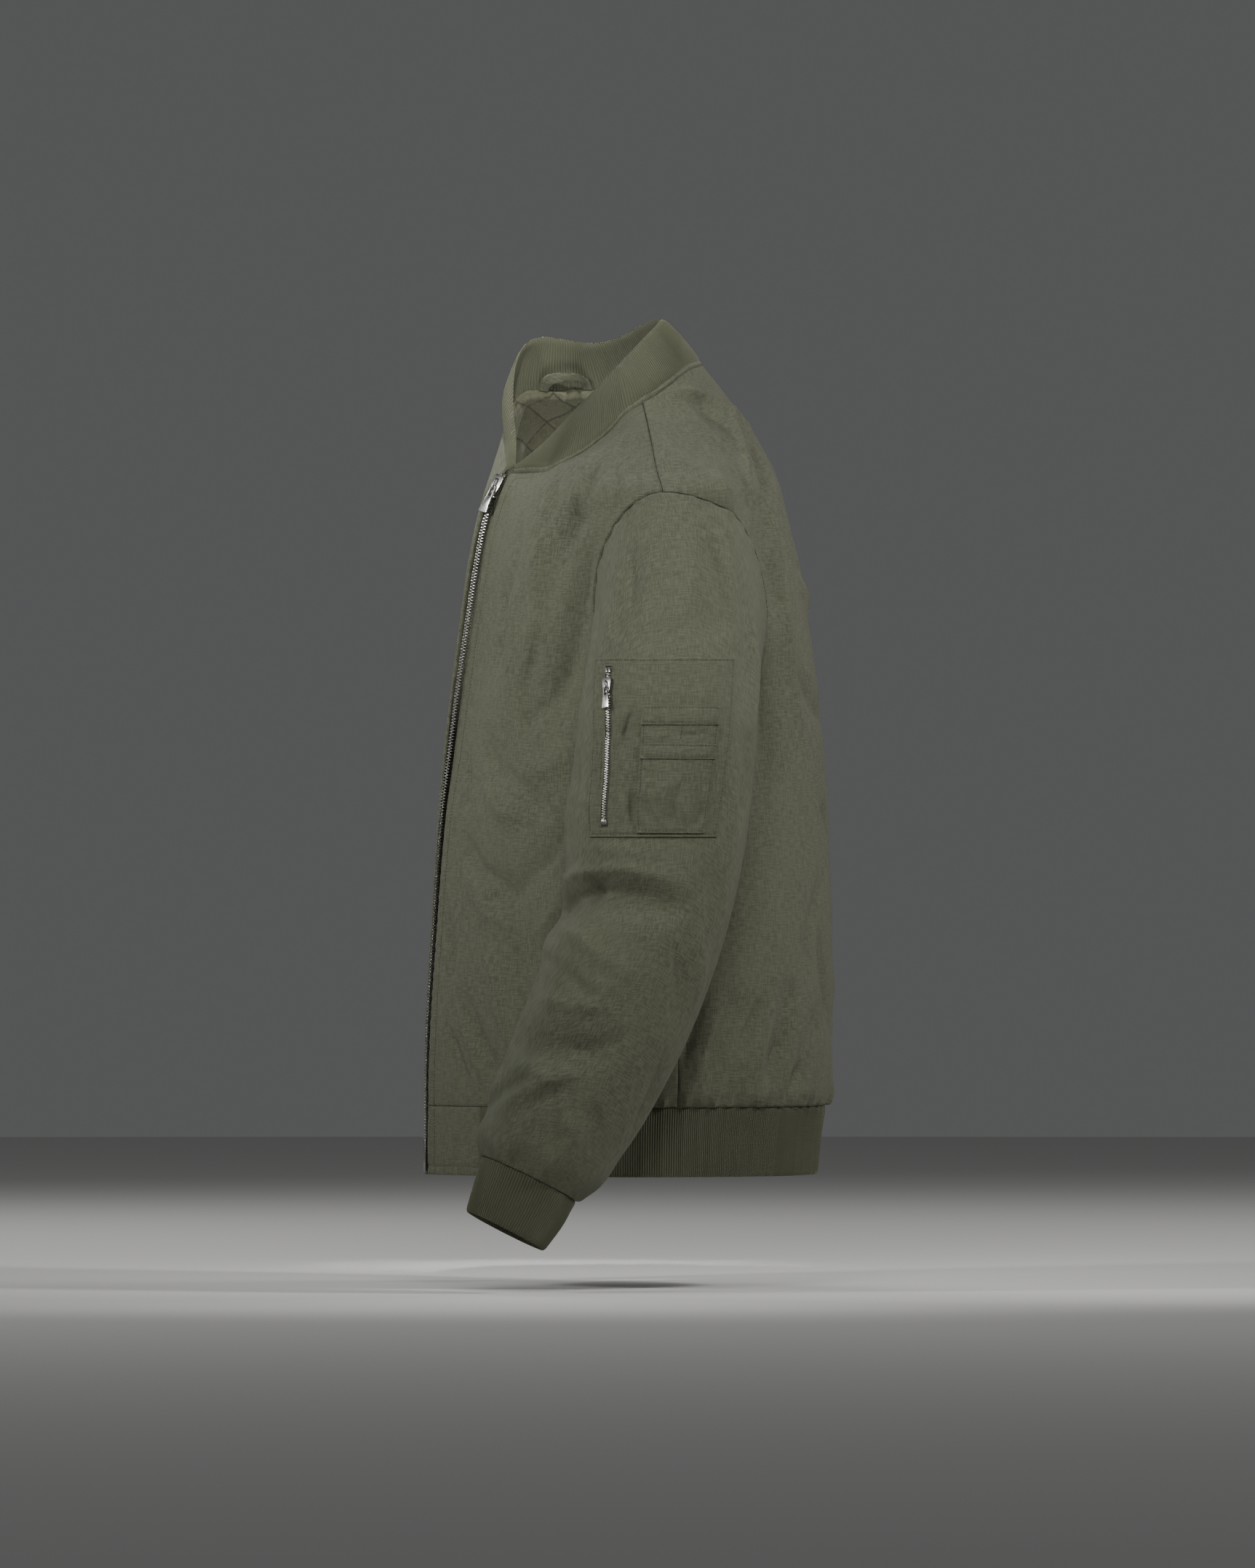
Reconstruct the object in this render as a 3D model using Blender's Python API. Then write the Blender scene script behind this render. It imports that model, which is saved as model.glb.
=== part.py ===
"""A bomber jacket, filled out as if somebody wore it, with open neck, hem and cuffs.

+Z is up, the front looks along -Y and the wearer's left is +X. The origin lies on the middle
plane, level with the two points where the collar meets the shoulder seams. Every size below is
in millimetres; the meshes are made in metres.

The body is one surface of two numbers: turn (degrees round the body, 0 at the zip, 90 at the
wearer's left side seam, 180 at the back) and height. Each sleeve is a tube of two numbers:
round (0 on its outer side, 90 in front, 180 towards the body) and ring (a row of SLEEVE_ROWS).
Panels are walls through points of these surfaces, and what is sewn onto a panel is made from
the same points, moved out.
"""

import bmesh
import bpy
import numpy as np

# ------------------------------------------------------------------ driving sizes
WALL = 2.4                 # shell cloth with its thin padding
RIB_WALL = 3.0             # doubled rib knit
SEAM_GAP = 0.3
MIDDLE = 0.2
EDGE_STEP = 0.35           # off a curved seam, so that flat facets keep their gap
NECK_STEP = 0.9
BAND_GAP = 1.5
HEM_SEAM_Z = -604.0
HEM_END_Z = -663.0
UNDERARM_Z = -248.0
SHOULDER_TIP_Z = -80.0
NECK_FRONT_Z = -61.0
NECK_SIDE_Z = -1.0
NECK_BACK_Z = 33.0
ZIP_HALF_OPENING = 6.5     # from the middle of the zip to the edge of each front
CUFF_RING = 10.0
CUFF_END_RING = 12.0

# Horizontal sections of the body. prow pinches the front towards the zip, fullness squares the back,
# and step is how far the left front lies behind the right one at the zip.
BODY_COLUMNS = ("height", "half_width", "seam_y", "front_y", "back_y", "prow", "fullness", "step")
BODY_ROWS = np.array([
    (-664, 190, 9, -178, 161, 0.32, 0.00, 0.5),
    (-640, 191, 9, -178, 163, 0.32, 0.00, 0.5),
    (-606, 196, 9, -178, 168, 0.32, 0.00, 0.8),
    (-590, 204, 8, -178, 171, 0.30, 0.01, 1.0),
    (-545, 211, 7, -177, 173, 0.28, 0.01, 1.5),
    (-455, 211, 6, -172, 173, 0.26, 0.01, 2.5),
    (-360, 209, 4, -166, 170, 0.24, 0.01, 4.5),
    (-298, 208, 2, -160, 166, 0.22, 0.01, 9.0),
    (-248, 208, 0, -154, 161, 0.20, 0.01, 10.5),
    (-190, 221, -4, -146, 152, 0.20, 0.01, 11.5),
    (-150, 232, -7, -140, 145, 0.20, 0.01, 12.0),
    (-112, 238, -10, -133, 137, 0.28, 0.01, 12.0),
    (-80, 234, -11, -123, 129, 0.50, 0.00, 11.0),
    (-61, 201, -10, -112, 124, 0.72, 0.00, 8.0),
    (-39, 160, -7, -70, 114, 0.80, 0.00, 2.0),
    (-20, 127, -5, -44, 104, 0.80, 0.00, 0.0),
    (0, 97, -4, -36, 89, 0.80, 0.00, 0.0),
    (20, 88, -4, -34, 73, 0.80, 0.00, 0.0),
    (36, 79, -4, -33, 60, 0.80, 0.00, 0.0),
], float)
STEP_FROM, STEP_TO = -7.0, 7.0         # across the zip
STEP_FADE = (24.0, 125.0)

# The neck seam, round from the zip (0) to the nape (180).
NECK_COLUMNS = ("round", "turn", "height")
NECK_ROWS = np.array([
    (0, 1.8, NECK_FRONT_Z),
    (28, 13, NECK_FRONT_Z),
    (52, 22, -60.5),
    (71, 29, -52),
    (82, 36, -39),
    (90, 44, -26),
    (98, 58, -13),
    (105, 90, NECK_SIDE_Z),
    (120, 106, 12),
    (135, 120, 22),
    (150, 137, 29),
    (180, 180, NECK_BACK_Z),
], float)
NECK_SIDE_ROUND = 105.0
COLLAR_TOP_WIDTH = 78.0
COLLAR_TOP_MIDDLE_Y = -33.5
COLLAR_TOP_HALF_DEPTH = 63.0
COLLAR_TOP_MIDDLE_Z = 5.8
COLLAR_TOP_SIDE_RISE = 14.0
COLLAR_TOP_TILT = 64.8
COLLAR_TIP_HEIGHT = 5.0
COLLAR_BOW = 3.0
BAND_HEIGHT = 5.0

# The armhole, round from its top (0) by the front (90) to the underarm (180).
ARMHOLE_FRONT_TURN = 26.0
ARMHOLE_BACK_TURN = 38.0

# Rings of the left sleeve below the armhole: the front and the back point, the middle and the half thickness.
SLEEVE_COLUMNS = ("ring", "front_y", "front_z", "back_y", "back_z", "middle_x", "half_thickness")
SLEEVE_ROWS = np.array([
    (1, -92, -285, 62, -285, 278, 62),
    (2, -97, -320, 58, -322, 283, 62),
    (3, -104, -360, 53, -362, 287, 61),
    (4, -104, -397, 45, -405, 290, 60),
    (5, -109, -430, 36, -443, 291, 59),
    (6, -118, -462, 25, -480, 290, 59),
    (7, -134, -507, 5, -535, 285, 59),
    (8, -152, -553, -18, -584, 279, 58),
    (9, -168, -597, -47, -634, 273, 54),
    (10, -172, -643, -92, -682, 266, 38),
    (11, -179, -667, -103, -701, 265, 34),
    (12, -185, -690, -119, -724, 264, 31),
], float)
# The right arm hangs straighter: how much further back each ring of its sleeve lies.
STRAIGHTER_ROWS = np.array([(1, 0), (4, 4), (5, 12), (6, 26), (7, 48), (8, 68), (9, 84), (10, 93), (12, 95)], float)
BLOUSE_RING = 9.55         # the fullest turn of the cloth over the cuff
BLOUSE_SIZE = 5.0

# Folds of the body, in columns turn_1, height_1, turn_2, height_2, half_width, rise: a line between two points
# (turn, height), its half width and its height (below 0 a trough).
BODY_FOLDS = [
    (97, -48, 113, -80, 15, 5),
    (113, -80, 118, -150, 15, 5),
    (128, -85, 133, -165, 18, -6),
    (58, -64, 50, -104, 16, -5),
    (50, -104, 44, -165, 17, -6),
    (34, -300, 46, -345, 19, -4),
    (36, -420, 58, -520, 20, -5),
    (108, -517, 101, -558, 13, -4),
    (128, -512, 121, -555, 13, -4),
    (143, -535, 134, -578, 13, -4),
    (-56, -66, -48, -108, 16, -5),
    (-48, -108, -42, -172, 17, -6),
    (-33, -320, -50, -352, 19, -4),
    (-38, -430, -58, -528, 20, -5),
    (-96, -52, -113, -84, 15, 5),
    (-126, -90, -130, -170, 17, -6),
    (-118, -508, -112, -556, 13, -4),
    (-140, -530, -134, -580, 13, -4),
    (168, -520, 171, -578, 14, -4),
]
# Folds of a sleeve: the same, between two points (round, height).
LEFT_SLEEVE_FOLDS = [
    (98, -437, 48, -419, 11, -8),
    (48, -419, -6, -436, 11, -7),
    (100, -462, 20, -502, 13, 4),
    (75, -545, 5, -560, 13, -4),
    (96, -600, 50, -578, 9, -5),
    (20, -205, -25, -192, 12, -3),
]
RIGHT_SLEEVE_FOLDS = [
    (96, -442, 40, -424, 11, -8),
    (40, -424, -10, -446, 11, -7),
    (98, -470, 26, -508, 13, 4),
    (70, -540, 0, -566, 13, -4),
    (92, -612, 40, -588, 9, -5),
    (24, -212, -28, -190, 12, -3),
]
TURN_MM = 3.4              # about how far one degree of turn goes on the body
ROUND_MM = 1.25            # and one degree of round on a sleeve
HEM_GATHER_RISE = 2.6
HEM_GATHER_REACH = 26.0
CUFF_GATHER_RISE = 2.6
CUFF_GATHER_RINGS = 0.9

# The wearer's right side of the collar and neck stands up higher and further forward.
LIFT = 51.0
LIFT_TURN = 74.0
LIFT_TURN_SPREAD = (30.0, 25.0)        # towards the front and towards the back
LIFT_CENTRE_Y = -30.0
LIFT_RADII = (98.0, 225.0)
LIFT_HEIGHTS = (-190.0, -48.0)
LIFT_FORWARD = 0.50
FORWARD_HEIGHTS = (-84.0, -30.0)

# The sleeve pocket: at each height its middle and half width, in degrees round the left sleeve. A place across it
# is -1 at its back edge and 1 at its front edge.
POCKET_COLUMNS = ("height", "middle", "half")
POCKET_ROWS = np.array([(-375, 10, 43.5), (-300, 13, 48), (-220, 13.5, 52.5)], float)
POCKET_HEIGHTS = np.array([-222, -229, -247, -264, -279, -295, -308, -325, -342, -357, -365, -370, -373], float)
POCKET_PLACES = np.array([-1, -0.88, -0.76, -0.57, -0.38, -0.18, 0.02, 0.22, 0.37, 0.51, 0.645, 0.755, 0.9, 1])
SLOT_CELL = 10             # the column of cells that is cut out for the zip
SLOT_ROWS = (1, 10)
POCKET_ZIP_PLACE = 0.70
PEN_CELLS = (2, 7)         # columns
PEN_ROWS = (3, 11)
PEN_BAND_ROWS = (3, 4)
PEN_MOUTH_ROWS = (5, 6)
PATCH_OUT = 0.6
PATCH_WALL = 1.4
PATCH_PUFF = 3.0
LAYER = 1.2                # a patch on a patch, hemmed once
POCKET_TAPE_HALF = 0.046
POCKET_CHAIN_HALF = 0.034

# Zips: sizes across, up and out from the middle of the chain.
CHAIN_HALF = 2.65
CHAIN_FRONT, CHAIN_BACK = -0.6, -3.9
TAPE_FRONT, TAPE_BACK = -3.6, -4.6
TAPE_INNER, TAPE_OUTER = 2.95, 15.0
ZIP_END_Z = -662.0
CHAIN_TOP_Z, CHAIN_END_Z = -66.0, -632.0
FRONT_SLIDER_Z = -71.0
POCKET_SLIDER_Z = -246.0
POCKET_ZIP_SCALE = 0.8
PLATE_OUTLINE = ((-8.5, 3.2), (-4.5, 4.4), (2.5, 5.2), (6.5, 5.2), (8.5, 3.8))    # (up, half width)
PLATE_BACK, PLATE_FRONT = -0.3, 1.9
BAIL_HALF = 0.8
BAIL_OUTER = ((-6.0, 1.2), (-6.0, 4.6), (-4.2, 6.2), (3.2, 6.2), (5.0, 4.6), (5.0, 1.2))    # (up, out)
BAIL_INNER = ((-4.4, 1.6), (-4.4, 3.8), (-3.4, 4.7), (2.4, 4.7), (3.4, 3.8), (3.4, 1.6))
PULL_BACK, PULL_FRONT = 2.4, 3.8
PULL_OUTER = ((-1.8, 2.2), (-2.4, 3.0), (-14.0, 3.2), (-25.8, 4.4), (-26.8, 3.6))    # (up, half width)
PULL_EYE = ((-3.4, 1.2), (-3.8, 1.6), (-8.0, 1.6), (-11.4, 1.6), (-11.9, 1.2))
STOP_PLACES = (0.8, 3.3)

# The lining hangs inside the neck: its lower edge, round from the zip like the neck seam.
LINING_COLUMNS = ("round", "turn", "height")
LINING_ROWS = np.array([
    (0, 6, -150), (38, 18, -140), (68, 42, -105), (94, 72, -58),
    (105, 90, -46), (120, 112, -55), (150, 150, -85), (180, 180, -95)], float)
LINING_START = 12.0
LINING_WALL = 1.6
LINING_FREE = 9.0
QUILT_RISE = 2.2

LOOP_MIDDLE, LOOP_HALF, LOOP_INNER_HALF = 266.0, 9.5, 6.6     # round, on the wearer's right
LOOP_HEIGHT, LOOP_INNER_HEIGHT, LOOP_FOOT = 16.5, 10.5, 7.5
LOOP_OFF, LOOP_WALL = 4.5, 1.2

OLIVE = (0.112, 0.117, 0.078)
OLIVE_RIB = (0.088, 0.092, 0.062)
OLIVE_LINING = (0.100, 0.104, 0.066)
TAPE_GREEN = (0.060, 0.064, 0.044)
NICKEL = (0.42, 0.41, 0.38)


# ------------------------------------------------------------------ curves and tables
def smooth(places, values, at):
    """A smooth curve through (places, values) that doesn't overshoot, read at `at`."""
    places, values, at = (np.asarray(part, float) for part in (places, values, at))
    step = np.diff(places)
    slope = np.diff(values) / step
    tangent = np.concatenate([slope[:1], np.zeros(len(slope) - 1), slope[-1:]])
    same_way = slope[:-1] * slope[1:] > 0
    total = np.where(same_way, slope[:-1] + slope[1:], 1.0)
    tangent[1:-1] = np.where(same_way, 2 * slope[:-1] * slope[1:] / total, 0.0)
    inside = np.clip(at, places[0], places[-1])
    left = np.clip(np.searchsorted(places, inside) - 1, 0, len(step) - 1)
    part = (inside - places[left]) / step[left]
    rise = (3 * part**2 - 2 * part**3) * (values[left + 1] - values[left])
    bend = (part**3 - 2 * part**2 + part) * tangent[left] + (part**3 - part**2) * tangent[left + 1]
    beyond = np.where(at < places[0], tangent[0], tangent[-1]) * (at - inside)
    return values[left] + rise + bend * step[left] + beyond


def column(rows, names, name, at):
    """One named column of a table, read smoothly at `at` along its first column."""
    ordered = rows[np.argsort(rows[:, 0])]
    return smooth(ordered[:, 0], ordered[:, names.index(name)], at)


def ease(value, low, high):
    """0 below low, 1 above high, and smooth in between."""
    part = np.clip((np.asarray(value, float) - low) / (high - low), 0, 1)
    return part * part * (3 - 2 * part)


def unit(vectors):
    return vectors / np.linalg.norm(vectors, axis=-1, keepdims=True)


def normals(surface, u, v, reach):
    """The way out of surface(u, v), from points a little to each side."""
    along = surface(u + reach[0], v) - surface(u - reach[0], v)
    up = surface(u, v + reach[1]) - surface(u, v - reach[1])
    return unit(np.cross(along, up))


def fold_rise(folds, u, v, u_mm):
    """How far the folds of a table lift or sink the point (u, v)."""
    total = np.zeros(np.broadcast(u, v).shape)
    for u1, v1, u2, v2, half_width, rise in folds:
        line = np.array([(u2 - u1) * u_mm, v2 - v1])
        across, along = (u - u1) * u_mm, v - v1
        part = np.clip((across * line[0] + along * line[1]) / (line @ line), 0, 1)
        away = (across - part * line[0])**2 + (along - part * line[1])**2
        total = total + rise * np.exp(-away / half_width**2)
    return total


# ------------------------------------------------------------------ body surface
def body_form(turn, height):
    """The body without folds: a point for each (turn, height)."""
    turn, height = np.broadcast_arrays(np.asarray(turn, float), np.asarray(height, float))
    read = {name: column(BODY_ROWS, BODY_COLUMNS, name, height) for name in BODY_COLUMNS[1:]}
    sine, cosine = np.sin(np.radians(turn)), np.cos(np.radians(turn))
    side = np.abs(sine)
    front = (read["front_y"] - read["seam_y"]) * cosine * (1 - read["prow"] * side * (1 - side))
    back = (read["seam_y"] - read["back_y"]) * cosine * (1 + read["fullness"] * side * (1 - side) * 4)
    x = read["half_width"] * sine
    step = read["step"] * ease(x, STEP_FROM, STEP_TO) * (1 - ease(x, *STEP_FADE))
    y = read["seam_y"] + np.where(cosine > 0, front + step, back)
    return np.stack([x, y, height], axis=-1)


def body_out(turn, height):
    return normals(body_form, np.asarray(turn, float), np.asarray(height, float), (0.6, 1.5))


def hem_gathers(turn, height):
    """Small uneven pleats where the cloth is drawn into the hem rib."""
    wave = np.cos(np.radians(turn * 22)) + 0.7 * np.cos(np.radians(turn * 15 + 40))
    close = np.exp(-(height - HEM_SEAM_Z) / HEM_GATHER_REACH)
    start = ease(height, HEM_SEAM_Z, HEM_SEAM_Z + 9)
    ribbed = ease(np.abs((turn + 180) % 360 - 180), 22, 34)
    return HEM_GATHER_RISE * wave * close * start * ribbed


def body(turn, height, out=0.0):
    """A point of the jacket's outer face, moved out by `out`."""
    turn = np.asarray(turn, float)
    height = np.asarray(height, float)
    shown = (turn + 180) % 360 - 180
    rise = fold_rise(BODY_FOLDS, shown, height, TURN_MM)
    above_seam = ease(height, HEM_SEAM_Z, HEM_SEAM_Z + 20)
    rise = rise * above_seam + hem_gathers(turn, height) + out
    return body_form(turn, height) + body_out(turn, height) * rise[..., None]


def zip_turn(height, away):
    """The turn that lies `away` from the middle of the zip, along the cloth."""
    height, away = np.broadcast_arrays(np.asarray(height, float), np.asarray(away, float))
    turns = np.linspace(0, 8, 81)
    found = np.empty(height.shape)
    for place in np.ndindex(height.shape):
        steps = np.linalg.norm(np.diff(body_form(turns, height[place]), axis=0), axis=-1)
        found[place] = np.interp(abs(away[place]), np.concatenate([[0], np.cumsum(steps)]), turns)
    return np.sign(away) * found


# ------------------------------------------------------------------ the two edges that other pieces meet
def neck_place(around):
    """(turn, height) of the neck seam: around is 0 at the zip, 180 at the nape and 360 at the zip again."""
    around = np.asarray(around, float)
    size = np.minimum(around, 360 - around)
    turn = column(NECK_ROWS, NECK_COLUMNS, "turn", size)
    return np.where(around > 180, 360 - turn, turn), column(NECK_ROWS, NECK_COLUMNS, "height", size)


def armhole_place(side, around):
    """(turn, height) of an armhole's edge. side is 1 for the left and -1 for the right."""
    sine, cosine = np.sin(np.radians(around)), np.cos(np.radians(around))
    middle = (SHOULDER_TIP_Z + UNDERARM_Z) / 2
    height = middle + (SHOULDER_TIP_Z - middle) * cosine
    spread = np.where(sine > 0, ARMHOLE_FRONT_TURN, ARMHOLE_BACK_TURN)
    return side * (90 - spread * sine), height


def edge_frame(place, around):
    """The point, the way out and the way off the cloth's edge, along a seam of the body."""
    here = body(*place(around))
    out = body_out(*place(around))
    along = body(*place(around + 0.5)) - body(*place(around - 0.5))
    return here, out, unit(np.cross(out, along))


# ------------------------------------------------------------------ the sleeve surface
def sleeve_form(side, around, ring):
    """A sleeve without folds: from the armhole's edge (ring 0) down to the end of the cuff."""
    around, ring = np.broadcast_arrays(np.asarray(around, float), np.asarray(ring, float))
    sine, cosine = np.sin(np.radians(around)), np.cos(np.radians(around))
    low = np.maximum(ring, 1.0)
    read = {name: column(SLEEVE_ROWS, SLEEVE_COLUMNS, name, low) for name in SLEEVE_COLUMNS[1:]}
    forward_y = (read["front_y"] - read["back_y"]) / 2
    forward_z = (read["front_z"] - read["back_z"]) / 2
    tube = np.stack([
        side * (read["middle_x"] + read["half_thickness"] * cosine),
        (read["front_y"] + read["back_y"]) / 2 + forward_y * sine,
        (read["front_z"] + read["back_z"]) / 2 + forward_z * sine], axis=-1)
    back_shift = smooth(STRAIGHTER_ROWS[:, 0], STRAIGHTER_ROWS[:, 1], low) if side < 0 else 0.0
    tube[..., 1] += back_shift
    edge, _, off_edge = edge_frame(lambda a: armhole_place(side, a), around)
    edge = edge + off_edge * side * EDGE_STEP
    top = ease(cosine, -1.0, 1.0)[..., None]
    leave = np.array([side * 0.86, 0, -0.42]) * (28 + 72 * top)
    arrive = np.array([0, 0, -1.0]) * (22 + 95 * top)
    part = np.clip(ring, 0, 1)[..., None]
    cap = (edge * (2 * part**3 - 3 * part**2 + 1) + leave * (part**3 - 2 * part**2 + part)
           + tube * (3 * part**2 - 2 * part**3) + arrive * (part**3 - part**2))
    return np.where(ring[..., None] < 1, cap, tube)


def sleeve_out(side, around, ring):
    """The way out of a sleeve. At the armhole it is the body's, so that the two walls meet edge to edge."""
    form = lambda u, v: sleeve_form(side, u, v)
    around, ring = np.broadcast_arrays(np.asarray(around, float), np.asarray(ring, float))
    own = normals(form, around, np.clip(ring, 0.03, CUFF_END_RING - 0.03), (1.0, 0.02)) * side
    body_way = body_out(*armhole_place(side, around))
    share = ease(ring, 0.0, 0.10)[..., None]
    return unit(own * share + body_way * (1 - share))


def sleeve(side, around, ring, out=0.0):
    """A point of a sleeve's outer face, moved out by `out`."""
    around, ring = np.broadcast_arrays(np.asarray(around, float), np.asarray(ring, float))
    form = sleeve_form(side, around, ring)
    shown = (around + 180) % 360 - 180
    folds = LEFT_SLEEVE_FOLDS if side > 0 else RIGHT_SLEEVE_FOLDS
    rise = fold_rise(folds, shown, form[..., 2], ROUND_MM) * ease(ring, 0.05, 0.5)
    rise = rise * (1 - ease(ring, CUFF_RING - 0.3, CUFF_RING))
    pucker = np.cos(np.radians(around * 8)) + 0.5 * np.cos(np.radians(around * 5 + 60))
    near_cuff = ease(ring, CUFF_RING - CUFF_GATHER_RINGS, CUFF_RING - 0.2)
    near_cuff = near_cuff * (1 - ease(ring, CUFF_RING - 0.2, CUFF_RING))
    blouse = BLOUSE_SIZE * np.exp(-((ring - BLOUSE_RING) / 0.28)**2)
    rise = rise + CUFF_GATHER_RISE * pucker * near_cuff + blouse + out
    return form + sleeve_out(side, around, ring) * rise[..., None]


def sleeve_ring_at(side, around, height):
    """The ring at which a sleeve's line `around` passes a height."""
    rings = np.linspace(0, CUFF_RING, 160)
    around, height = np.broadcast_arrays(np.asarray(around, float), np.asarray(height, float))
    found = np.empty(around.shape)
    for place in np.ndindex(around.shape):
        heights = sleeve_form(side, around[place], rings)[:, 2]
        found[place] = np.interp(-height[place], -heights, rings)
    return found


def on_left_sleeve(around, height, out):
    """A point `out` from the left sleeve, by (round, height)."""
    return sleeve(1, around, sleeve_ring_at(1, around, height), out)


# ------------------------------------------------------------------ making solids
def lift_right_neck(points):
    """Raises the wearer's right side of the neck, and everything near it."""
    x, y, z = points[..., 0], points[..., 1], points[..., 2]
    turn = np.degrees(np.arctan2(-x, -(y - LIFT_CENTRE_Y)))
    near = 1 - ease(np.hypot(x, y - LIFT_CENTRE_Y), *LIFT_RADII)
    spread = np.where(turn < LIFT_TURN, *LIFT_TURN_SPREAD)
    rise = LIFT * np.exp(-((turn - LIFT_TURN) / spread)**2) * near * ease(z, *LIFT_HEIGHTS)
    forward = LIFT_FORWARD * rise * ease(z, *FORWARD_HEIGHTS)
    return points + np.stack([np.zeros_like(rise), -forward, rise], axis=-1)


def cloth_material(name, colour, roughness=0.8, metallic=0.0):
    material = bpy.data.materials.new(name)
    material.use_nodes = True
    shader = material.node_tree.nodes["Principled BSDF"]
    shader.inputs["Base Color"].default_value = (*colour, 1)
    shader.inputs["Roughness"].default_value = roughness
    shader.inputs["Metallic"].default_value = metallic
    return material


def add_object(name, points, faces, colour, roughness=0.8, metallic=0.0):
    """One named object from points in millimetres and faces that look out."""
    mesh = bpy.data.meshes.new(name)
    mesh.from_pydata((lift_right_neck(np.asarray(points, float)) * 0.001).tolist(), [], faces)
    made = bmesh.new()
    made.from_mesh(mesh)
    bmesh.ops.recalc_face_normals(made, faces=made.faces)
    made.to_mesh(mesh)
    made.free()
    mesh.shade_smooth()
    mesh.set_sharp_from_angle(angle=np.radians(50))
    made_object = bpy.data.objects.new(name, mesh)
    made_object.data.materials.append(cloth_material(name, colour, roughness, metallic))
    bpy.context.collection.objects.link(made_object)
    return made_object


def wall(name, outer, inner, colour, loop=False, open_cells=(), **finish):
    """A closed wall between two grids of points. loop joins the last column to the first.
    open_cells are (row, column) cells that are left out."""
    rows, columns = outer.shape[:2]
    count = rows * columns
    cells = {(row, col) for row in range(rows - 1) for col in range(columns if loop else columns - 1)}
    cells -= set(open_cells)

    def corner(row, col, face):
        return face * count + row * columns + col % columns

    faces = []
    for row, col in sorted(cells):
        ring = [(row, col), (row, col + 1), (row + 1, col + 1), (row + 1, col)]
        faces.append([corner(*place, 0) for place in ring])
        faces.append([corner(*place, 1) for place in reversed(ring)])
        beside = [(row - 1, col), (row, col + 1), (row + 1, col), (row, col - 1)]
        for side, other in enumerate(beside):
            other = (other[0], other[1] % columns) if loop else other
            if other not in cells:
                start, end = ring[side], ring[(side + 1) % 4]
                faces.append([corner(*end, 0), corner(*start, 0), corner(*start, 1), corner(*end, 1)])
    points = np.concatenate([outer.reshape(-1, 3), inner.reshape(-1, 3)])
    used = sorted({index for face in faces for index in face})
    renumber = {index: place for place, index in enumerate(used)}
    faces = [[renumber[index] for index in face] for face in faces]
    return add_object(name, points[used], faces, colour, **finish)


# ------------------------------------------------------------------ shell panels
SIDE_CLIMB = np.array([0, 9, 21, 38, 62, 100, 145, 195, 245, 295, 332, UNDERARM_Z - HEM_SEAM_Z])
ARMHOLE_STOPS = np.arange(165, 0, -15)
NECK_STOPS = np.array([4.2, 24, 46, 66, 84, 99])
BACK_CELLS = 13
ZIP_CLIMB = 1.04           # rows are further apart at the zip than at the side
SLEEVE_STOPS = np.concatenate([[0], ARMHOLE_STOPS[::-1], [180], 360 - ARMHOLE_STOPS])


def side_seam_turn(height, behind):
    """The side and shoulder seams, half a gap before or behind 90 degrees."""
    name = "back_y" if behind else "front_y"
    depth = column(BODY_ROWS, BODY_COLUMNS, name, height) - column(BODY_ROWS, BODY_COLUMNS, "seam_y", height)
    return 90 + np.degrees(MIDDLE / depth)


def side_edge(behind):
    """(turn, height) up the side seam and round the armhole to the shoulder tip."""
    climb = HEM_SEAM_Z + SIDE_CLIMB
    turn, height = armhole_place(1, -ARMHOLE_STOPS if behind else ARMHOLE_STOPS)
    turns = np.concatenate([side_seam_turn(climb, behind), turn, side_seam_turn(np.array([SHOULDER_TIP_Z]), behind)])
    return turns, np.concatenate([climb, height, [SHOULDER_TIP_Z]])


def panel(name, turn, height):
    wall(name, body(turn, height), body(turn, height, -WALL), OLIVE)


def make_fronts():
    """Rows run from the zip or the neck seam to the side seam or the armhole; the top one is the shoulder seam."""
    side_turn, side_z = side_edge(False)
    up_the_zip = np.concatenate([HEM_SEAM_Z + SIDE_CLIMB * ZIP_CLIMB, [-186, -144, -110, -83, NECK_FRONT_Z]])
    neck_turn, neck_z = neck_place(np.append(NECK_STOPS, NECK_SIDE_ROUND))
    centre_turn = np.concatenate([zip_turn(up_the_zip, ZIP_HALF_OPENING), neck_turn])
    centre_z = np.concatenate([up_the_zip, neck_z])
    centre_turn[-1] = side_seam_turn(NECK_SIDE_Z, False)
    across = np.concatenate([[0, 0.014, 0.036], np.linspace(0.09, 1, 12)])[None, :]
    turn = centre_turn[:, None] * (1 - across) + side_turn[:, None] * across
    height = centre_z[:, None] * (1 - across) + side_z[:, None] * across
    turn[-1] = side_seam_turn(height[-1], False)
    panel("left_front", turn, height)
    panel("right_front", -turn[:, ::-1], height[:, ::-1])


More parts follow.
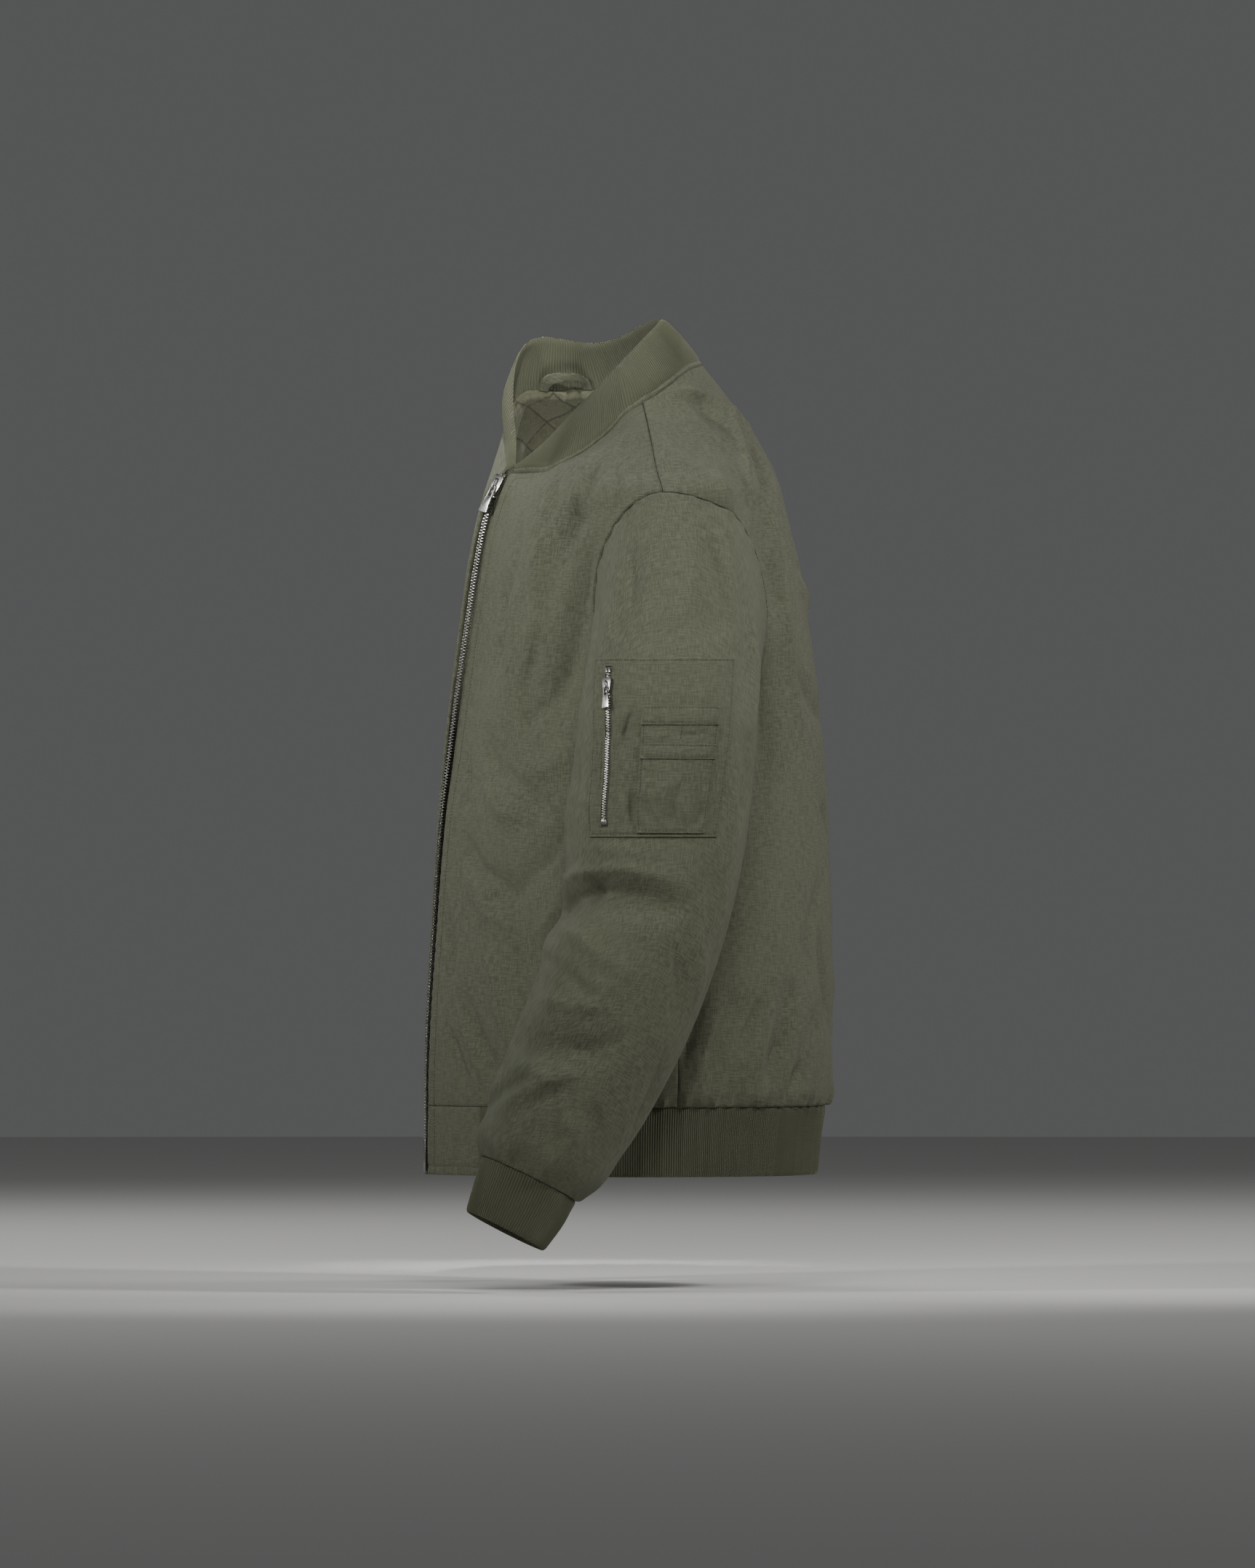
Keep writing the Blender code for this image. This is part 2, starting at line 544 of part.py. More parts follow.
def make_back():
    """Each row runs from the middle of the back to the side seam, the armhole or the shoulder seam."""
    side_turn, side_z = side_edge(True)
    shoulder = np.linspace(SHOULDER_TIP_Z, NECK_SIDE_Z, 6)[1:]
    side_turn = np.concatenate([side_turn, side_seam_turn(shoulder, True)])
    side_z = np.concatenate([side_z, shoulder])
    centre_z = np.concatenate([side_z[:len(SIDE_CLIMB)], np.linspace(-225, -40, len(ARMHOLE_STOPS) + 1),
                               np.linspace(-25, NECK_BACK_Z, len(shoulder))])
    across = np.linspace(0, 1, BACK_CELLS + 1)[None, :]
    neck_turn, neck_z = neck_place(180 + (NECK_SIDE_ROUND - 180) * across)
    share = ((centre_z - HEM_SEAM_Z) / (NECK_BACK_Z - HEM_SEAM_Z))[:, None]**4
    turn = 180 * (1 - across) + side_turn[:, None] * across + share * (neck_turn - (180 - 90 * across))
    straight_z = NECK_BACK_Z + (NECK_SIDE_Z - NECK_BACK_Z) * across
    height = centre_z[:, None] * (1 - across) + side_z[:, None] * across + share * (neck_z - straight_z)
    turn[-1, -1] = side_seam_turn(NECK_SIDE_Z, True)
    turn = np.concatenate([turn[:, ::-1], 360 - turn[:, 1:]], axis=1)
    panel("back", turn, np.concatenate([height[:, ::-1], height[:, 1:]], axis=1))


def make_sleeves():
    rings = np.array([0, 0.07, 0.2, 0.37, 0.6, 0.85, 1.3, 2.0, 2.8, 3.5, 4.0, 4.4, 4.75, 5.2, 5.8,
                      6.6, 7.4, 8.1, 8.7, 9.25, 9.6, 9.85, CUFF_RING])
    around, ring = np.meshgrid(SLEEVE_STOPS, rings)
    for side, name in ((1, "left_sleeve"), (-1, "right_sleeve")):
        wall(name, sleeve(side, around, ring), sleeve(side, around, ring, -WALL), OLIVE, loop=True)


# ------------------------------------------------------------------ rib pieces
def make_cuffs():
    rings = np.array([CUFF_RING + 0.015, 10.7, 11.35, CUFF_END_RING])
    around, ring = np.meshgrid(SLEEVE_STOPS, rings)
    for side, name in ((1, "left_cuff"), (-1, "right_cuff")):
        wall(name, sleeve(side, around, ring), sleeve(side, around, ring, -RIB_WALL), OLIVE_RIB, loop=True)


HEM_BLOCK_TURN = 27.0


def make_hem():
    heights = np.linspace(HEM_END_Z, HEM_SEAM_Z - SEAM_GAP, 4)
    gap = np.degrees(SEAM_GAP / 190)
    turn, height = np.meshgrid(np.linspace(HEM_BLOCK_TURN + gap, 360 - HEM_BLOCK_TURN - gap, 44), heights)
    wall("hem_rib", body(turn, height), body(turn, height, -RIB_WALL), OLIVE_RIB)
    start = zip_turn(heights, ZIP_HALF_OPENING)
    turn = start[:, None] + (HEM_BLOCK_TURN - start[:, None]) * np.linspace(0, 1, 6)
    height = np.broadcast_to(heights[:, None], turn.shape)
    wall("hem_block_left", body(turn, height), body(turn, height, -WALL), OLIVE)
    turn = -turn[:, ::-1]
    wall("hem_block_right", body(turn, height), body(turn, height, -WALL), OLIVE)


def collar_top(around):
    """The top edge of the collar."""
    sine, cosine = np.sin(np.radians(around)), np.cos(np.radians(around))
    rise = COLLAR_TOP_MIDDLE_Z + COLLAR_TOP_SIDE_RISE * np.abs(sine) - COLLAR_TOP_TILT * cosine
    size = np.minimum(around, 360 - around)
    tip = COLLAR_TIP_HEIGHT * np.exp(-(size / 30)**2)
    y = COLLAR_TOP_MIDDLE_Y - COLLAR_TOP_HALF_DEPTH * cosine
    return np.stack([COLLAR_TOP_WIDTH * sine, y, rise + tip], axis=-1)


def collar_form(around, up):
    """The neck band and the collar as one surface, from the neck seam (up 0) to the top edge (up 1)."""
    around, up = np.broadcast_arrays(np.asarray(around, float), np.asarray(up, float))
    base, _, off_edge = edge_frame(neck_place, around)
    base = base + off_edge * NECK_STEP
    top = collar_top(around)
    inward = unit(base * np.array([1, 1, 0]) - np.array([0, COLLAR_TOP_MIDDLE_Y, 0]))
    bow = (COLLAR_BOW * 4 * up * (1 - up))[..., None]
    return base + (top - base) * up[..., None] + inward * bow


def collar_surface(around, up, out):
    body_way = body_out(*neck_place(around))
    own = normals(collar_form, around, np.clip(up, 0.02, 0.98), (1.0, 0.02))
    share = ease(up, 0.0, 0.5)[..., None]
    return collar_form(around, up) + unit(own * share + body_way * (1 - share)) * np.asarray(out, float)[..., None]


def make_collar():
    half = np.concatenate([NECK_STOPS, np.linspace(NECK_SIDE_ROUND, 180, BACK_CELLS + 1)])
    rounds = np.concatenate([half, 360 - half[-2::-1]])
    around, level = np.meshgrid(rounds, np.linspace(0, 1, 4))
    tall = np.linalg.norm(collar_form(around, 1.0) - collar_form(around, 0.0), axis=-1)
    band = np.minimum(BAND_HEIGHT / tall, 0.4)
    low = band * level
    wall("neck_band", collar_surface(around[::3], low[::3], 0.0), collar_surface(around[::3], low[::3], -WALL), OLIVE)
    start = band + BAND_GAP / tall
    up = start + (1 - start) * level
    wall("collar", collar_surface(around, up, 0.0), collar_surface(around, up, -RIB_WALL), OLIVE_RIB)


# ------------------------------------------------------------------ lining and loop
def make_lining():
    half = np.concatenate([[LINING_START], NECK_STOPS[1:], np.linspace(NECK_SIDE_ROUND, 180, BACK_CELLS + 1)])
    rounds = np.concatenate([half, 360 - half[-2::-1]])
    around, down = np.meshgrid(rounds, np.linspace(0, 1, 6))
    size = np.minimum(around, 360 - around)
    neck_turn, neck_z = neck_place(size)
    turn = neck_turn + (column(LINING_ROWS, LINING_COLUMNS, "turn", size) - neck_turn) * down
    height = neck_z - 0.5 + (column(LINING_ROWS, LINING_COLUMNS, "height", size) - neck_z) * down
    turn = np.where(around > 180, 360 - turn, turn)
    back = -(WALL + 0.6 + LINING_FREE * ease(down, 0, 0.5))
    rows, places = np.indices(around.shape)
    within = (down > 0) & (down < 1) & (places > 0) & (places < len(rounds) - 1)
    quilt = np.where(within & ((rows + places) % 2 == 0), QUILT_RISE, 0.0)
    form, out = body_form(turn, height), body_out(turn, height)
    inner = back - LINING_WALL - quilt
    wall("neck_lining", form + out * back[..., None], form + out * inner[..., None], OLIVE_LINING)


def inside_collar(around, up_mm, off):
    """A point on the inner side of the collar, up_mm above the neck seam and `off` away from the rib."""
    tall = np.linalg.norm(collar_form(around, 1.0) - collar_form(around, 0.0), axis=-1)
    return collar_surface(around, up_mm / tall, -RIB_WALL - off)


def make_loop():
    swing = np.radians(np.linspace(0, 180, 11))
    up, off = np.sin(swing)**0.7, 2.4 + LOOP_OFF * np.sin(swing)
    around = LOOP_MIDDLE + np.stack([LOOP_HALF * np.cos(swing), LOOP_INNER_HALF * np.cos(swing)])
    height = LOOP_FOOT + np.stack([LOOP_HEIGHT * up, LOOP_INNER_HEIGHT * up])
    wall("hanger_loop", inside_collar(around, height, off), inside_collar(around, height, off + LOOP_WALL), OLIVE)


# ------------------------------------------------------------------ zips
def strip(name, place, across, heights, out, back, colour, **finish):
    """A strip along a zip. place(height, across, out) gives its points."""
    side, height = np.meshgrid(across, heights)
    wall(name, place(height, side, out), place(height, side, back), colour, **finish)


def front_zip(height, across, out):
    return body(zip_turn(height, across), height, out)


def pocket_spot(height, place, out):
    """A point `out` from the left sleeve, by height and place across the pocket."""
    middle = column(POCKET_ROWS, POCKET_COLUMNS, "middle", height)
    half = column(POCKET_ROWS, POCKET_COLUMNS, "half", height)
    return on_left_sleeve(middle + half * place, height, out)


def local_frame(point, height):
    """The place and the three directions (across, up, out) at the middle of a zip; up runs along its teeth."""
    here = point(height, 0.0, 0.0)
    up = unit(point(height + 2, 0.0, 0.0) - point(height - 2, 0.0, 0.0))
    out = unit(point(height, 0.0, 1.0) - here)
    out = unit(out - up * (out @ up))
    return here, np.stack([np.cross(up, out), up, out])


def in_frame(frame, across, up, out, scale):
    across, up, out = np.broadcast_arrays(across, up, out)
    return frame[0] + scale * np.stack([across, up, out], axis=-1) @ frame[1]


def outline_ring(outline):
    """(up, half width) pairs as a closed ring of (up, across)."""
    one_side = [(up, half) for up, half in outline]
    return np.array(one_side + [(up, -half) for up, half in reversed(one_side)])


def plate(name, frame, scale, outer, inner, back, front):
    """A flat metal plate; inner is the outline of its eye."""
    ring, eye = outline_ring(outer), outline_ring(inner)
    out = np.array([back, front])[:, None]
    rim = in_frame(frame, ring[:, 1], ring[:, 0], out, scale)
    hole = in_frame(frame, eye[:, 1], eye[:, 0], out, scale)
    return wall(name, rim, hole, NICKEL, loop=True, roughness=0.3, metallic=1.0)


def fuse(keep, other):
    """Joins two solids that run into each other."""
    join = keep.modifiers.new("join", "BOOLEAN")
    join.operation, join.solver, join.object = "UNION", "EXACT", other
    bpy.context.view_layer.objects.active = keep
    bpy.ops.object.modifier_apply(modifier=join.name)
    bpy.data.objects.remove(other, do_unlink=True)


def slider_and_pull(prefix, frame, scale):
    ring = outline_ring(PLATE_OUTLINE)
    count = len(ring)
    corners = np.concatenate([in_frame(frame, ring[:, 1], ring[:, 0], out, scale)
                              for out in (PLATE_BACK, PLATE_FRONT)])
    faces = [list(range(count)), list(range(2 * count - 1, count - 1, -1))]
    faces += [[i, (i + 1) % count, (i + 1) % count + count, i + count] for i in range(count)]
    slider = add_object(prefix + "_slider", corners, faces, NICKEL, roughness=0.3, metallic=1.0)
    across = np.array([-BAIL_HALF, BAIL_HALF])[:, None]
    bail = [in_frame(frame, across, *np.array(edge).T, scale) for edge in (BAIL_OUTER, BAIL_INNER)]
    arch = wall("arch", *bail, NICKEL, loop=True, roughness=0.3, metallic=1.0)
    fuse(slider, arch)
    plate(prefix + "_pull", frame, scale, PULL_OUTER, PULL_EYE, PULL_BACK, PULL_FRONT)


def make_front_zip():
    chain_heights = np.concatenate([np.linspace(CHAIN_END_Z, -130, 17), np.linspace(-112, CHAIN_TOP_Z, 5)])
    tape_heights = np.concatenate([[ZIP_END_Z], chain_heights, [NECK_FRONT_Z - 1]])
    columns = np.array([TAPE_INNER, ZIP_HALF_OPENING, 10.0, TAPE_OUTER])
    strip("zip_tape_left", front_zip, columns, tape_heights, TAPE_FRONT, TAPE_BACK, TAPE_GREEN)
    strip("zip_tape_right", front_zip, -columns[::-1], tape_heights, TAPE_FRONT, TAPE_BACK, TAPE_GREEN)
    strip("zip_chain", front_zip, [-CHAIN_HALF, 0, CHAIN_HALF], chain_heights,
          CHAIN_FRONT, CHAIN_BACK, NICKEL, roughness=0.3, metallic=1.0)
    strip("zip_bottom_box", front_zip, [-CHAIN_HALF, 0, CHAIN_HALF], [ZIP_END_Z + 1, CHAIN_END_Z - 1],
          -0.2, CHAIN_BACK, NICKEL, roughness=0.3, metallic=1.0)
    for name, side in (("zip_top_stop_left", 1), ("zip_top_stop_right", -1)):
        strip(name, front_zip, sorted([side * STOP_PLACES[0], side * STOP_PLACES[1]]), [-65.5, -62.2],
              CHAIN_FRONT, TAPE_FRONT + 0.3, NICKEL, roughness=0.3, metallic=1.0)
    slider_and_pull("zip", local_frame(front_zip, FRONT_SLIDER_Z), 1.0)


# ------------------------------------------------------------------ sleeve pocket
def patch_out(height, place):
    """How far the pocket's outer face stands off the sleeve."""
    sides = 1 - np.abs(place)**4
    ends = ease(height, POCKET_HEIGHTS[-1], -330) * (1 - ease(height, -262, POCKET_HEIGHTS[0]))
    beside_zip = ease(np.abs(place - POCKET_ZIP_PLACE), 0.06, 0.3)
    return PATCH_OUT + PATCH_WALL + PATCH_PUFF * sides * ends * beside_zip


def pocket_layer(name, rows, cells, above, thick, open_cells=()):
    """Part of the pocket's grid as a wall, `above` the patch's outer face."""
    place, height = np.meshgrid(POCKET_PLACES[cells[0]:cells[1] + 1], POCKET_HEIGHTS[rows[0]:rows[1] + 1])
    out = patch_out(height, place) + above + thick
    wall(name, pocket_spot(height, place, out), pocket_spot(height, place, out - thick), OLIVE, open_cells=open_cells)


def make_pocket():
    slot = [(row, SLOT_CELL) for row in range(*SLOT_ROWS)]
    last = (len(POCKET_HEIGHTS) - 1, len(POCKET_PLACES) - 1)
    pocket_layer("pocket_patch", (0, last[0]), (0, last[1]), -PATCH_WALL, PATCH_WALL, slot)
    pocket_layer("pen_pocket", PEN_ROWS, PEN_CELLS, SEAM_GAP, LAYER)
    pocket_layer("pen_pocket_band", PEN_BAND_ROWS, PEN_CELLS, SEAM_GAP * 2 + LAYER, LAYER)
    pocket_layer("pen_pocket_mouth", PEN_MOUTH_ROWS, PEN_CELLS, SEAM_GAP * 2 + LAYER, LAYER)
    spot = lambda height, away, out: pocket_spot(height, POCKET_ZIP_PLACE + away, out)
    heights = np.linspace(-363.5, -230.5, 14)
    strip("pocket_tape", spot, [-POCKET_TAPE_HALF, 0, POCKET_TAPE_HALF], heights, 1.05, 0.35, TAPE_GREEN)
    metal = dict(roughness=0.3, metallic=1.0)
    chain_heights = np.linspace(-358, -235, 14)
    strip("pocket_chain", spot, [-POCKET_CHAIN_HALF, 0, POCKET_CHAIN_HALF], chain_heights, 3.2, 1.35, NICKEL, **metal)
    strip("pocket_bottom_stop", spot, [-0.04, 0.04], [-362.5, -358.5], 3.3, 1.35, NICKEL, **metal)
    for name, side in (("pocket_top_stop_front", 1), ("pocket_top_stop_back", -1)):
        strip(name, spot, sorted([side * 0.008, side * 0.04]), [-234.5, -231], 3.3, 1.35, NICKEL, **metal)
    flat = lambda height, away, out: spot(height, away, out + 3.5)
    slider_and_pull("pocket", local_frame(flat, POCKET_SLIDER_Z), POCKET_ZIP_SCALE)


def main():
    for thing in list(bpy.data.objects):
        bpy.data.objects.remove(thing, do_unlink=True)
    make_fronts()
    make_back()
    make_sleeves()
    make_cuffs()
    make_hem()
    make_collar()
    make_lining()
    make_loop()
    make_front_zip()
    make_pocket()


main()
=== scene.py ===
# %% [markdown]
# # A bomber jacket, filled out as if somebody wore it
#
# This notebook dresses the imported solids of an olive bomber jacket: woven shell, ribbed collar, cuffs
# and hem, a metal front zip, and a pocket with a zip on the left sleeve. The solids already have the
# right outline. What is added here is what a maker's hand and the wearer's body put into cloth: creases,
# puckered seams, sewing thread, ribs, single zip teeth, and finishes that react to light.
#
# Everything is in one frame: +Z up, the front looks along -Y, the wearer's left is +X. Cloth is worked
# out in millimetres, as a maker would note it, and turned into metres when a mesh is made.

import bmesh
import bpy
import numpy as np
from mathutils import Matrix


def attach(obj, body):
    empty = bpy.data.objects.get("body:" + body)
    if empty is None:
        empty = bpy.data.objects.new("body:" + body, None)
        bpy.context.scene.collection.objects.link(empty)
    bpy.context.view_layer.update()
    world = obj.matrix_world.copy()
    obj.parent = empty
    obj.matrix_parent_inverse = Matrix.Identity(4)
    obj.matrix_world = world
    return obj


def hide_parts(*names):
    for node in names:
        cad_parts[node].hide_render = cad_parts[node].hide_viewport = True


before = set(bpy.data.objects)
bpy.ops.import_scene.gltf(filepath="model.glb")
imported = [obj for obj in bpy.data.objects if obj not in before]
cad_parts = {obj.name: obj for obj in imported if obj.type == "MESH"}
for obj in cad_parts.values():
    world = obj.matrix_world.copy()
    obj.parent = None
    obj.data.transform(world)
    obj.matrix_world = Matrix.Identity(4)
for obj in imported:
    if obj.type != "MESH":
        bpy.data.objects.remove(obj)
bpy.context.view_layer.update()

# %% [markdown]
# ## The camera
#
# The jacket is seen square from the wearer's left, 10 degrees towards its front, at chest height. A very
# long lens keeps far and near parts the same size, as in a catalogue picture. With a picture 2156 dots
# tall and 1600 dots to a metre, the view is 1.3475 m tall, which gives the lens for any distance.

# %% Camera
VIEW_AZIMUTH = np.radians(80.0)
CAMERA_DISTANCE, SENSOR, FAR_CLIP = 20.0, 36.0, 200.0
DOTS_TALL, DOTS_PER_METRE = 2156, 1600
ORIGIN_ROW = 553                       # the row of dots, from the top, at the height of the frame's origin
PICTURE_TALL = DOTS_TALL / DOTS_PER_METRE
PICTURE_MIDDLE_Z = (ORIGIN_ROW - DOTS_TALL / 2) / DOTS_PER_METRE

camera_data = bpy.data.cameras.new("camera")
camera_data.sensor_width, camera_data.clip_end = SENSOR, FAR_CLIP
camera_data.lens = SENSOR * CAMERA_DISTANCE / PICTURE_TALL
camera = bpy.data.objects.new("camera", camera_data)
bpy.context.collection.objects.link(camera)
camera.location = (
    CAMERA_DISTANCE * np.sin(VIEW_AZIMUTH), -CAMERA_DISTANCE * np.cos(VIEW_AZIMUTH), PICTURE_MIDDLE_Z)
camera.rotation_euler = (np.pi / 2, 0, VIEW_AZIMUTH)
bpy.context.scene.camera = camera
print("camera lens", round(camera_data.lens), "mm")

# %% [markdown]
# ## Light and floor
#
# Cloth shows its creases when the light comes from the sides and little comes from the camera. One lamp
# stands before the left front, above chest height, and one behind the left shoulder. Their beams are
# narrowed, as a grid on a softbox does, so the hem falls into shade, and a weaker one lights the forearm.
# Two small ones, one over the neck and one hidden inside the body, show the lining, and wide ones light the
# far sides. The floor is a plain pale sheet, a little below the cuffs.

# %% Lamps
def soft_lamp(name, place, target, size, watts, beam):
    data = bpy.data.lights.new(name, "AREA")
    data.shape, data.size, data.energy, data.spread = "DISK", size, watts, np.radians(beam)
    lamp = bpy.data.objects.new(name, data)
    bpy.context.collection.objects.link(lamp)
    way = np.array(target) - np.array(place)
    lamp.location = place
    level = np.hypot(way[0], way[1])
    lamp.rotation_euler = (np.arctan2(level, -way[2]), 0, np.arctan2(way[1], way[0]) - np.pi / 2)
    return lamp


MIDDLE, CHEST, SHOULDER_BLADE = (0, 0, -0.35), (0.05, -0.10, -0.04), (0.12, 0.08, -0.14)
FOREARM, NECK = (0.1, -0.05, -0.42), (-0.09, -0.05, 0.0)
LAMPS = [      # name, place, where it points, size, watts, width of the beam in degrees
    ("lamp_left_front", (0.90, -1.70, 0.56), CHEST, 0.36, 2.75, 50),
    ("lamp_left_back", (1.40, 1.36, 0.72), SHOULDER_BLADE, 0.4, 4.0, 64),
    ("lamp_left_side", (2.1, -0.4, 0.30), FOREARM, 0.5, 1.95, 60),
    ("lamp_into_neck", (1.45, -0.32, 1.55), NECK, 0.12, 0.20, 9),
    ("lamp_inside", (0.02, -0.03, -0.30), NECK, 0.12, 0.30, 120),
    ("lamp_above", (0.3, -0.1, 2.3), MIDDLE, 1.0, 5, 180),
    ("lamp_front", (-0.6, -3.6, 0.6), MIDDLE, 2.2, 16, 180),
    ("lamp_behind", (-1.2, 2.9, 2.2), MIDDLE, 2.2, 34, 180),
    ("lamp_right_side", (-3.0, -0.9, 2.0), MIDDLE, 2.2, 34, 180)]
lamps = {row[0]: soft_lamp(*row) for row in LAMPS}
lamps["lamp_inside"].visible_camera = False
print("lamps", len(lamps), "with", sum(row[4] for row in LAMPS), "watts in all")


# %% Sky and floor
def set_inputs(node, **values):
    """Sets a node's sockets by their names, with _ for each space."""
    for label, value in values.items():
        node.inputs[label.replace("_", " ")].default_value = value


FLOOR_RADIUS, FLOOR_Z, FLOOR_SIDES = 8.5, -0.76, 96

sky = bpy.data.worlds.new("studio")
bpy.context.scene.world = sky
sky.use_nodes = True
set_inputs(sky.node_tree.nodes["Background"], Color=(0.80, 0.81, 0.82, 1), Strength=0.12)

floor_mesh = bpy.data.meshes.new("floor")
floor_mesh.from_pydata([(FLOOR_RADIUS * np.cos(turn), FLOOR_RADIUS * np.sin(turn), FLOOR_Z)
                        for turn in np.linspace(0, 2 * np.pi, FLOOR_SIDES + 1)[:-1]], [], [list(range(FLOOR_SIDES))])
floor = bpy.data.objects.new("floor", floor_mesh)
bpy.context.collection.objects.link(floor)
floor_finish = bpy.data.materials.new("pale_floor")
floor_finish.use_nodes = True
set_inputs(floor_finish.node_tree.nodes["Principled BSDF"], Base_Color=(0.72, 0.71, 0.69, 1), Roughness=0.9)
floor_mesh.materials.append(floor_finish)
print("floor", 2 * FLOOR_RADIUS, "m across at", FLOOR_Z, "m")

# %% [markdown]
# ## The sizes of the jacket
#
# A garment maker keeps a size chart. Here it is a few tables, the same as the solids were made from: level
# rows round the body, places along the neck seam, and rings down a sleeve. Reading a table smoothly between
# its rows turns a few measurements into a whole surface, so one number changed moves all that is sewn there.

# %% Size chart of the body, in millimetres and degrees
WALL, RIB_WALL = 2.4, 3.0
SEAM_GAP, HALF_SEAM, ARMHOLE_STEP, NECK_STEP = 0.3, 0.2, 0.35, 0.15        # how far pieces stand apart at seams
HEM_SEAM_Z, HEM_END_Z = -604.0, -663.0
UNDERARM_Z, SHOULDER_TIP_Z = -248.0, -80.0
ARMHOLE_FRONT_TURN, ARMHOLE_BACK_TURN = 26.0, 38.0
ARMHOLE_MIDDLE_Z, ARMHOLE_HALF = (SHOULDER_TIP_Z + UNDERARM_Z) / 2, (SHOULDER_TIP_Z - UNDERARM_Z) / 2
NECK_FRONT_Z, NECK_SIDE_Z, NECK_BACK_Z = -61.0, -1.0, 33.0
NECK_SIDE_ROUND = 105.0
ZIP_HALF_OPENING = 6.5

BODY_COLUMNS = ("height", "half_width", "seam_y", "front_y", "back_y", "prow", "fullness", "step")
BODY_ROWS = np.array([
    (-664, 190, 9, -178, 161, 0.32, 0.00, 0.5), (-640, 191, 9, -178, 163, 0.32, 0.00, 0.5),
    (-606, 196, 9, -178, 168, 0.32, 0.00, 0.8), (-590, 204, 8, -178, 171, 0.30, 0.01, 1.0),
    (-545, 211, 7, -177, 173, 0.28, 0.01, 1.5), (-455, 211, 6, -172, 173, 0.26, 0.01, 2.5),
    (-360, 209, 4, -166, 170, 0.24, 0.01, 4.5), (-298, 208, 2, -160, 166, 0.22, 0.01, 9.0),
    (-248, 208, 0, -154, 161, 0.20, 0.01, 10.5), (-190, 221, -4, -146, 152, 0.20, 0.01, 11.5),
    (-150, 232, -7, -140, 145, 0.20, 0.01, 12.0), (-112, 238, -10, -133, 137, 0.28, 0.01, 12.0),
    (-80, 234, -11, -123, 129, 0.50, 0.00, 11.0), (-61, 201, -10, -112, 124, 0.72, 0.00, 8.0),
    (-39, 160, -7, -70, 114, 0.80, 0.00, 2.0), (-20, 127, -5, -44, 104, 0.80, 0.00, 0.0),
    (0, 97, -4, -36, 89, 0.80, 0.00, 0.0), (20, 88, -4, -34, 73, 0.80, 0.00, 0.0),
    (36, 79, -4, -33, 60, 0.80, 0.00, 0.0)], float)
FRONT_STEP, STEP_FADE = (-7.0, 7.0), (24.0, 125.0)                         # where the left front steps over the right

NECK_COLUMNS = ("round", "turn", "height")
NECK_ROWS = np.array([
    (0, 1.8, NECK_FRONT_Z), (28, 13, NECK_FRONT_Z), (52, 22, -60.5), (71, 29, -52), (82, 36, -39), (90, 44, -26),
    (98, 58, -13), (NECK_SIDE_ROUND, 90, NECK_SIDE_Z), (120, 106, 12), (135, 120, 22), (150, 137, 29),
    (180, 180, NECK_BACK_Z)], float)
print("body rows", len(BODY_ROWS), "neck places", len(NECK_ROWS))

# %% Size chart of the sleeves
CUFF_RING, CUFF_END_RING = 10.0, 12.0
SLEEVE_COLUMNS = ("ring", "front_y", "front_z", "back_y", "back_z", "middle_x", "half_thickness")
SLEEVE_ROWS = np.array([
    (1, -92, -285, 62, -285, 278, 62), (2, -97, -320, 58, -322, 283, 62), (3, -104, -360, 53, -362, 287, 61),
    (4, -104, -397, 45, -405, 290, 60), (5, -109, -430, 36, -443, 291, 59), (6, -118, -462, 25, -480, 290, 59),
    (7, -134, -507, 5, -535, 285, 59), (8, -152, -553, -18, -584, 279, 58), (9, -168, -597, -47, -634, 273, 54),
    (10, -172, -643, -92, -682, 266, 38), (11, -179, -667, -103, -701, 265, 34),
    (12, -185, -690, -119, -724, 264, 31)], float)
# how much further back the right sleeve hangs: (ring, millimetres)
STRAIGHTER_ROWS = np.array([(1, 0), (4, 4), (5, 12), (6, 26), (7, 48), (8, 68), (9, 84), (10, 93), (12, 95)], float)
print("sleeve rings", len(SLEEVE_ROWS))

# %% [markdown]
# ## Reading a table smoothly
#
# A smooth curve through measured points can wobble between them, which cloth would show as a bump that
# nobody measured. The curve here keeps its slope at zero wherever the numbers turn round, so it never
# goes past a measurement. `ease` fades an effect in or out without a kink; `bell` keeps it near one place.

# %% Curves
def smooth(places, values, at):
    """Reads a curve through the values, and straight on past its ends."""
    step = np.diff(places)
    slope = np.diff(values) / step
    tangent = np.concatenate([slope[:1], np.zeros(len(slope) - 1), slope[-1:]])
    same_way = slope[:-1] * slope[1:] > 0
    total = np.where(same_way, slope[:-1] + slope[1:], 1.0)
    tangent[1:-1] = np.where(same_way, 2 * slope[:-1] * slope[1:] / total, 0.0)
    at = np.asarray(at, float)
    inside = np.clip(at, places[0], places[-1])
    left = np.clip(np.searchsorted(places, inside) - 1, 0, len(step) - 1)
    part = (inside - places[left]) / step[left]
    rise = (3 * part**2 - 2 * part**3) * (values[left + 1] - values[left])
    bend = (part**3 - 2 * part**2 + part) * tangent[left] + (part**3 - part**2) * tangent[left + 1]
    beyond = np.where(at < places[0], tangent[0], tangent[-1]) * (at - inside)
    return values[left] + rise + bend * step[left] + beyond


def column(rows, names, name, at):
    """Reads one named column of a table between its rows."""
    ordered = rows[np.argsort(rows[:, 0])]
    return smooth(ordered[:, 0], ordered[:, names.index(name)], at)


def ease(value, low, high):
    """0 up to low, 1 from high on, with no kink between."""
    part = np.clip((np.asarray(value, float) - low) / (high - low), 0, 1)
    return part * part * (3 - 2 * part)


def bell(value, middle, half_width):
    """1 at the middle, fading to both sides."""
    return np.exp(-((value - middle) / half_width)**2)


def wave(along, length, shift=0.0):
    """A ripple that repeats after a length in millimetres."""
    return np.sin(along * 2 * np.pi / length + shift)


def sine(degrees):
    return np.sin(np.radians(degrees))


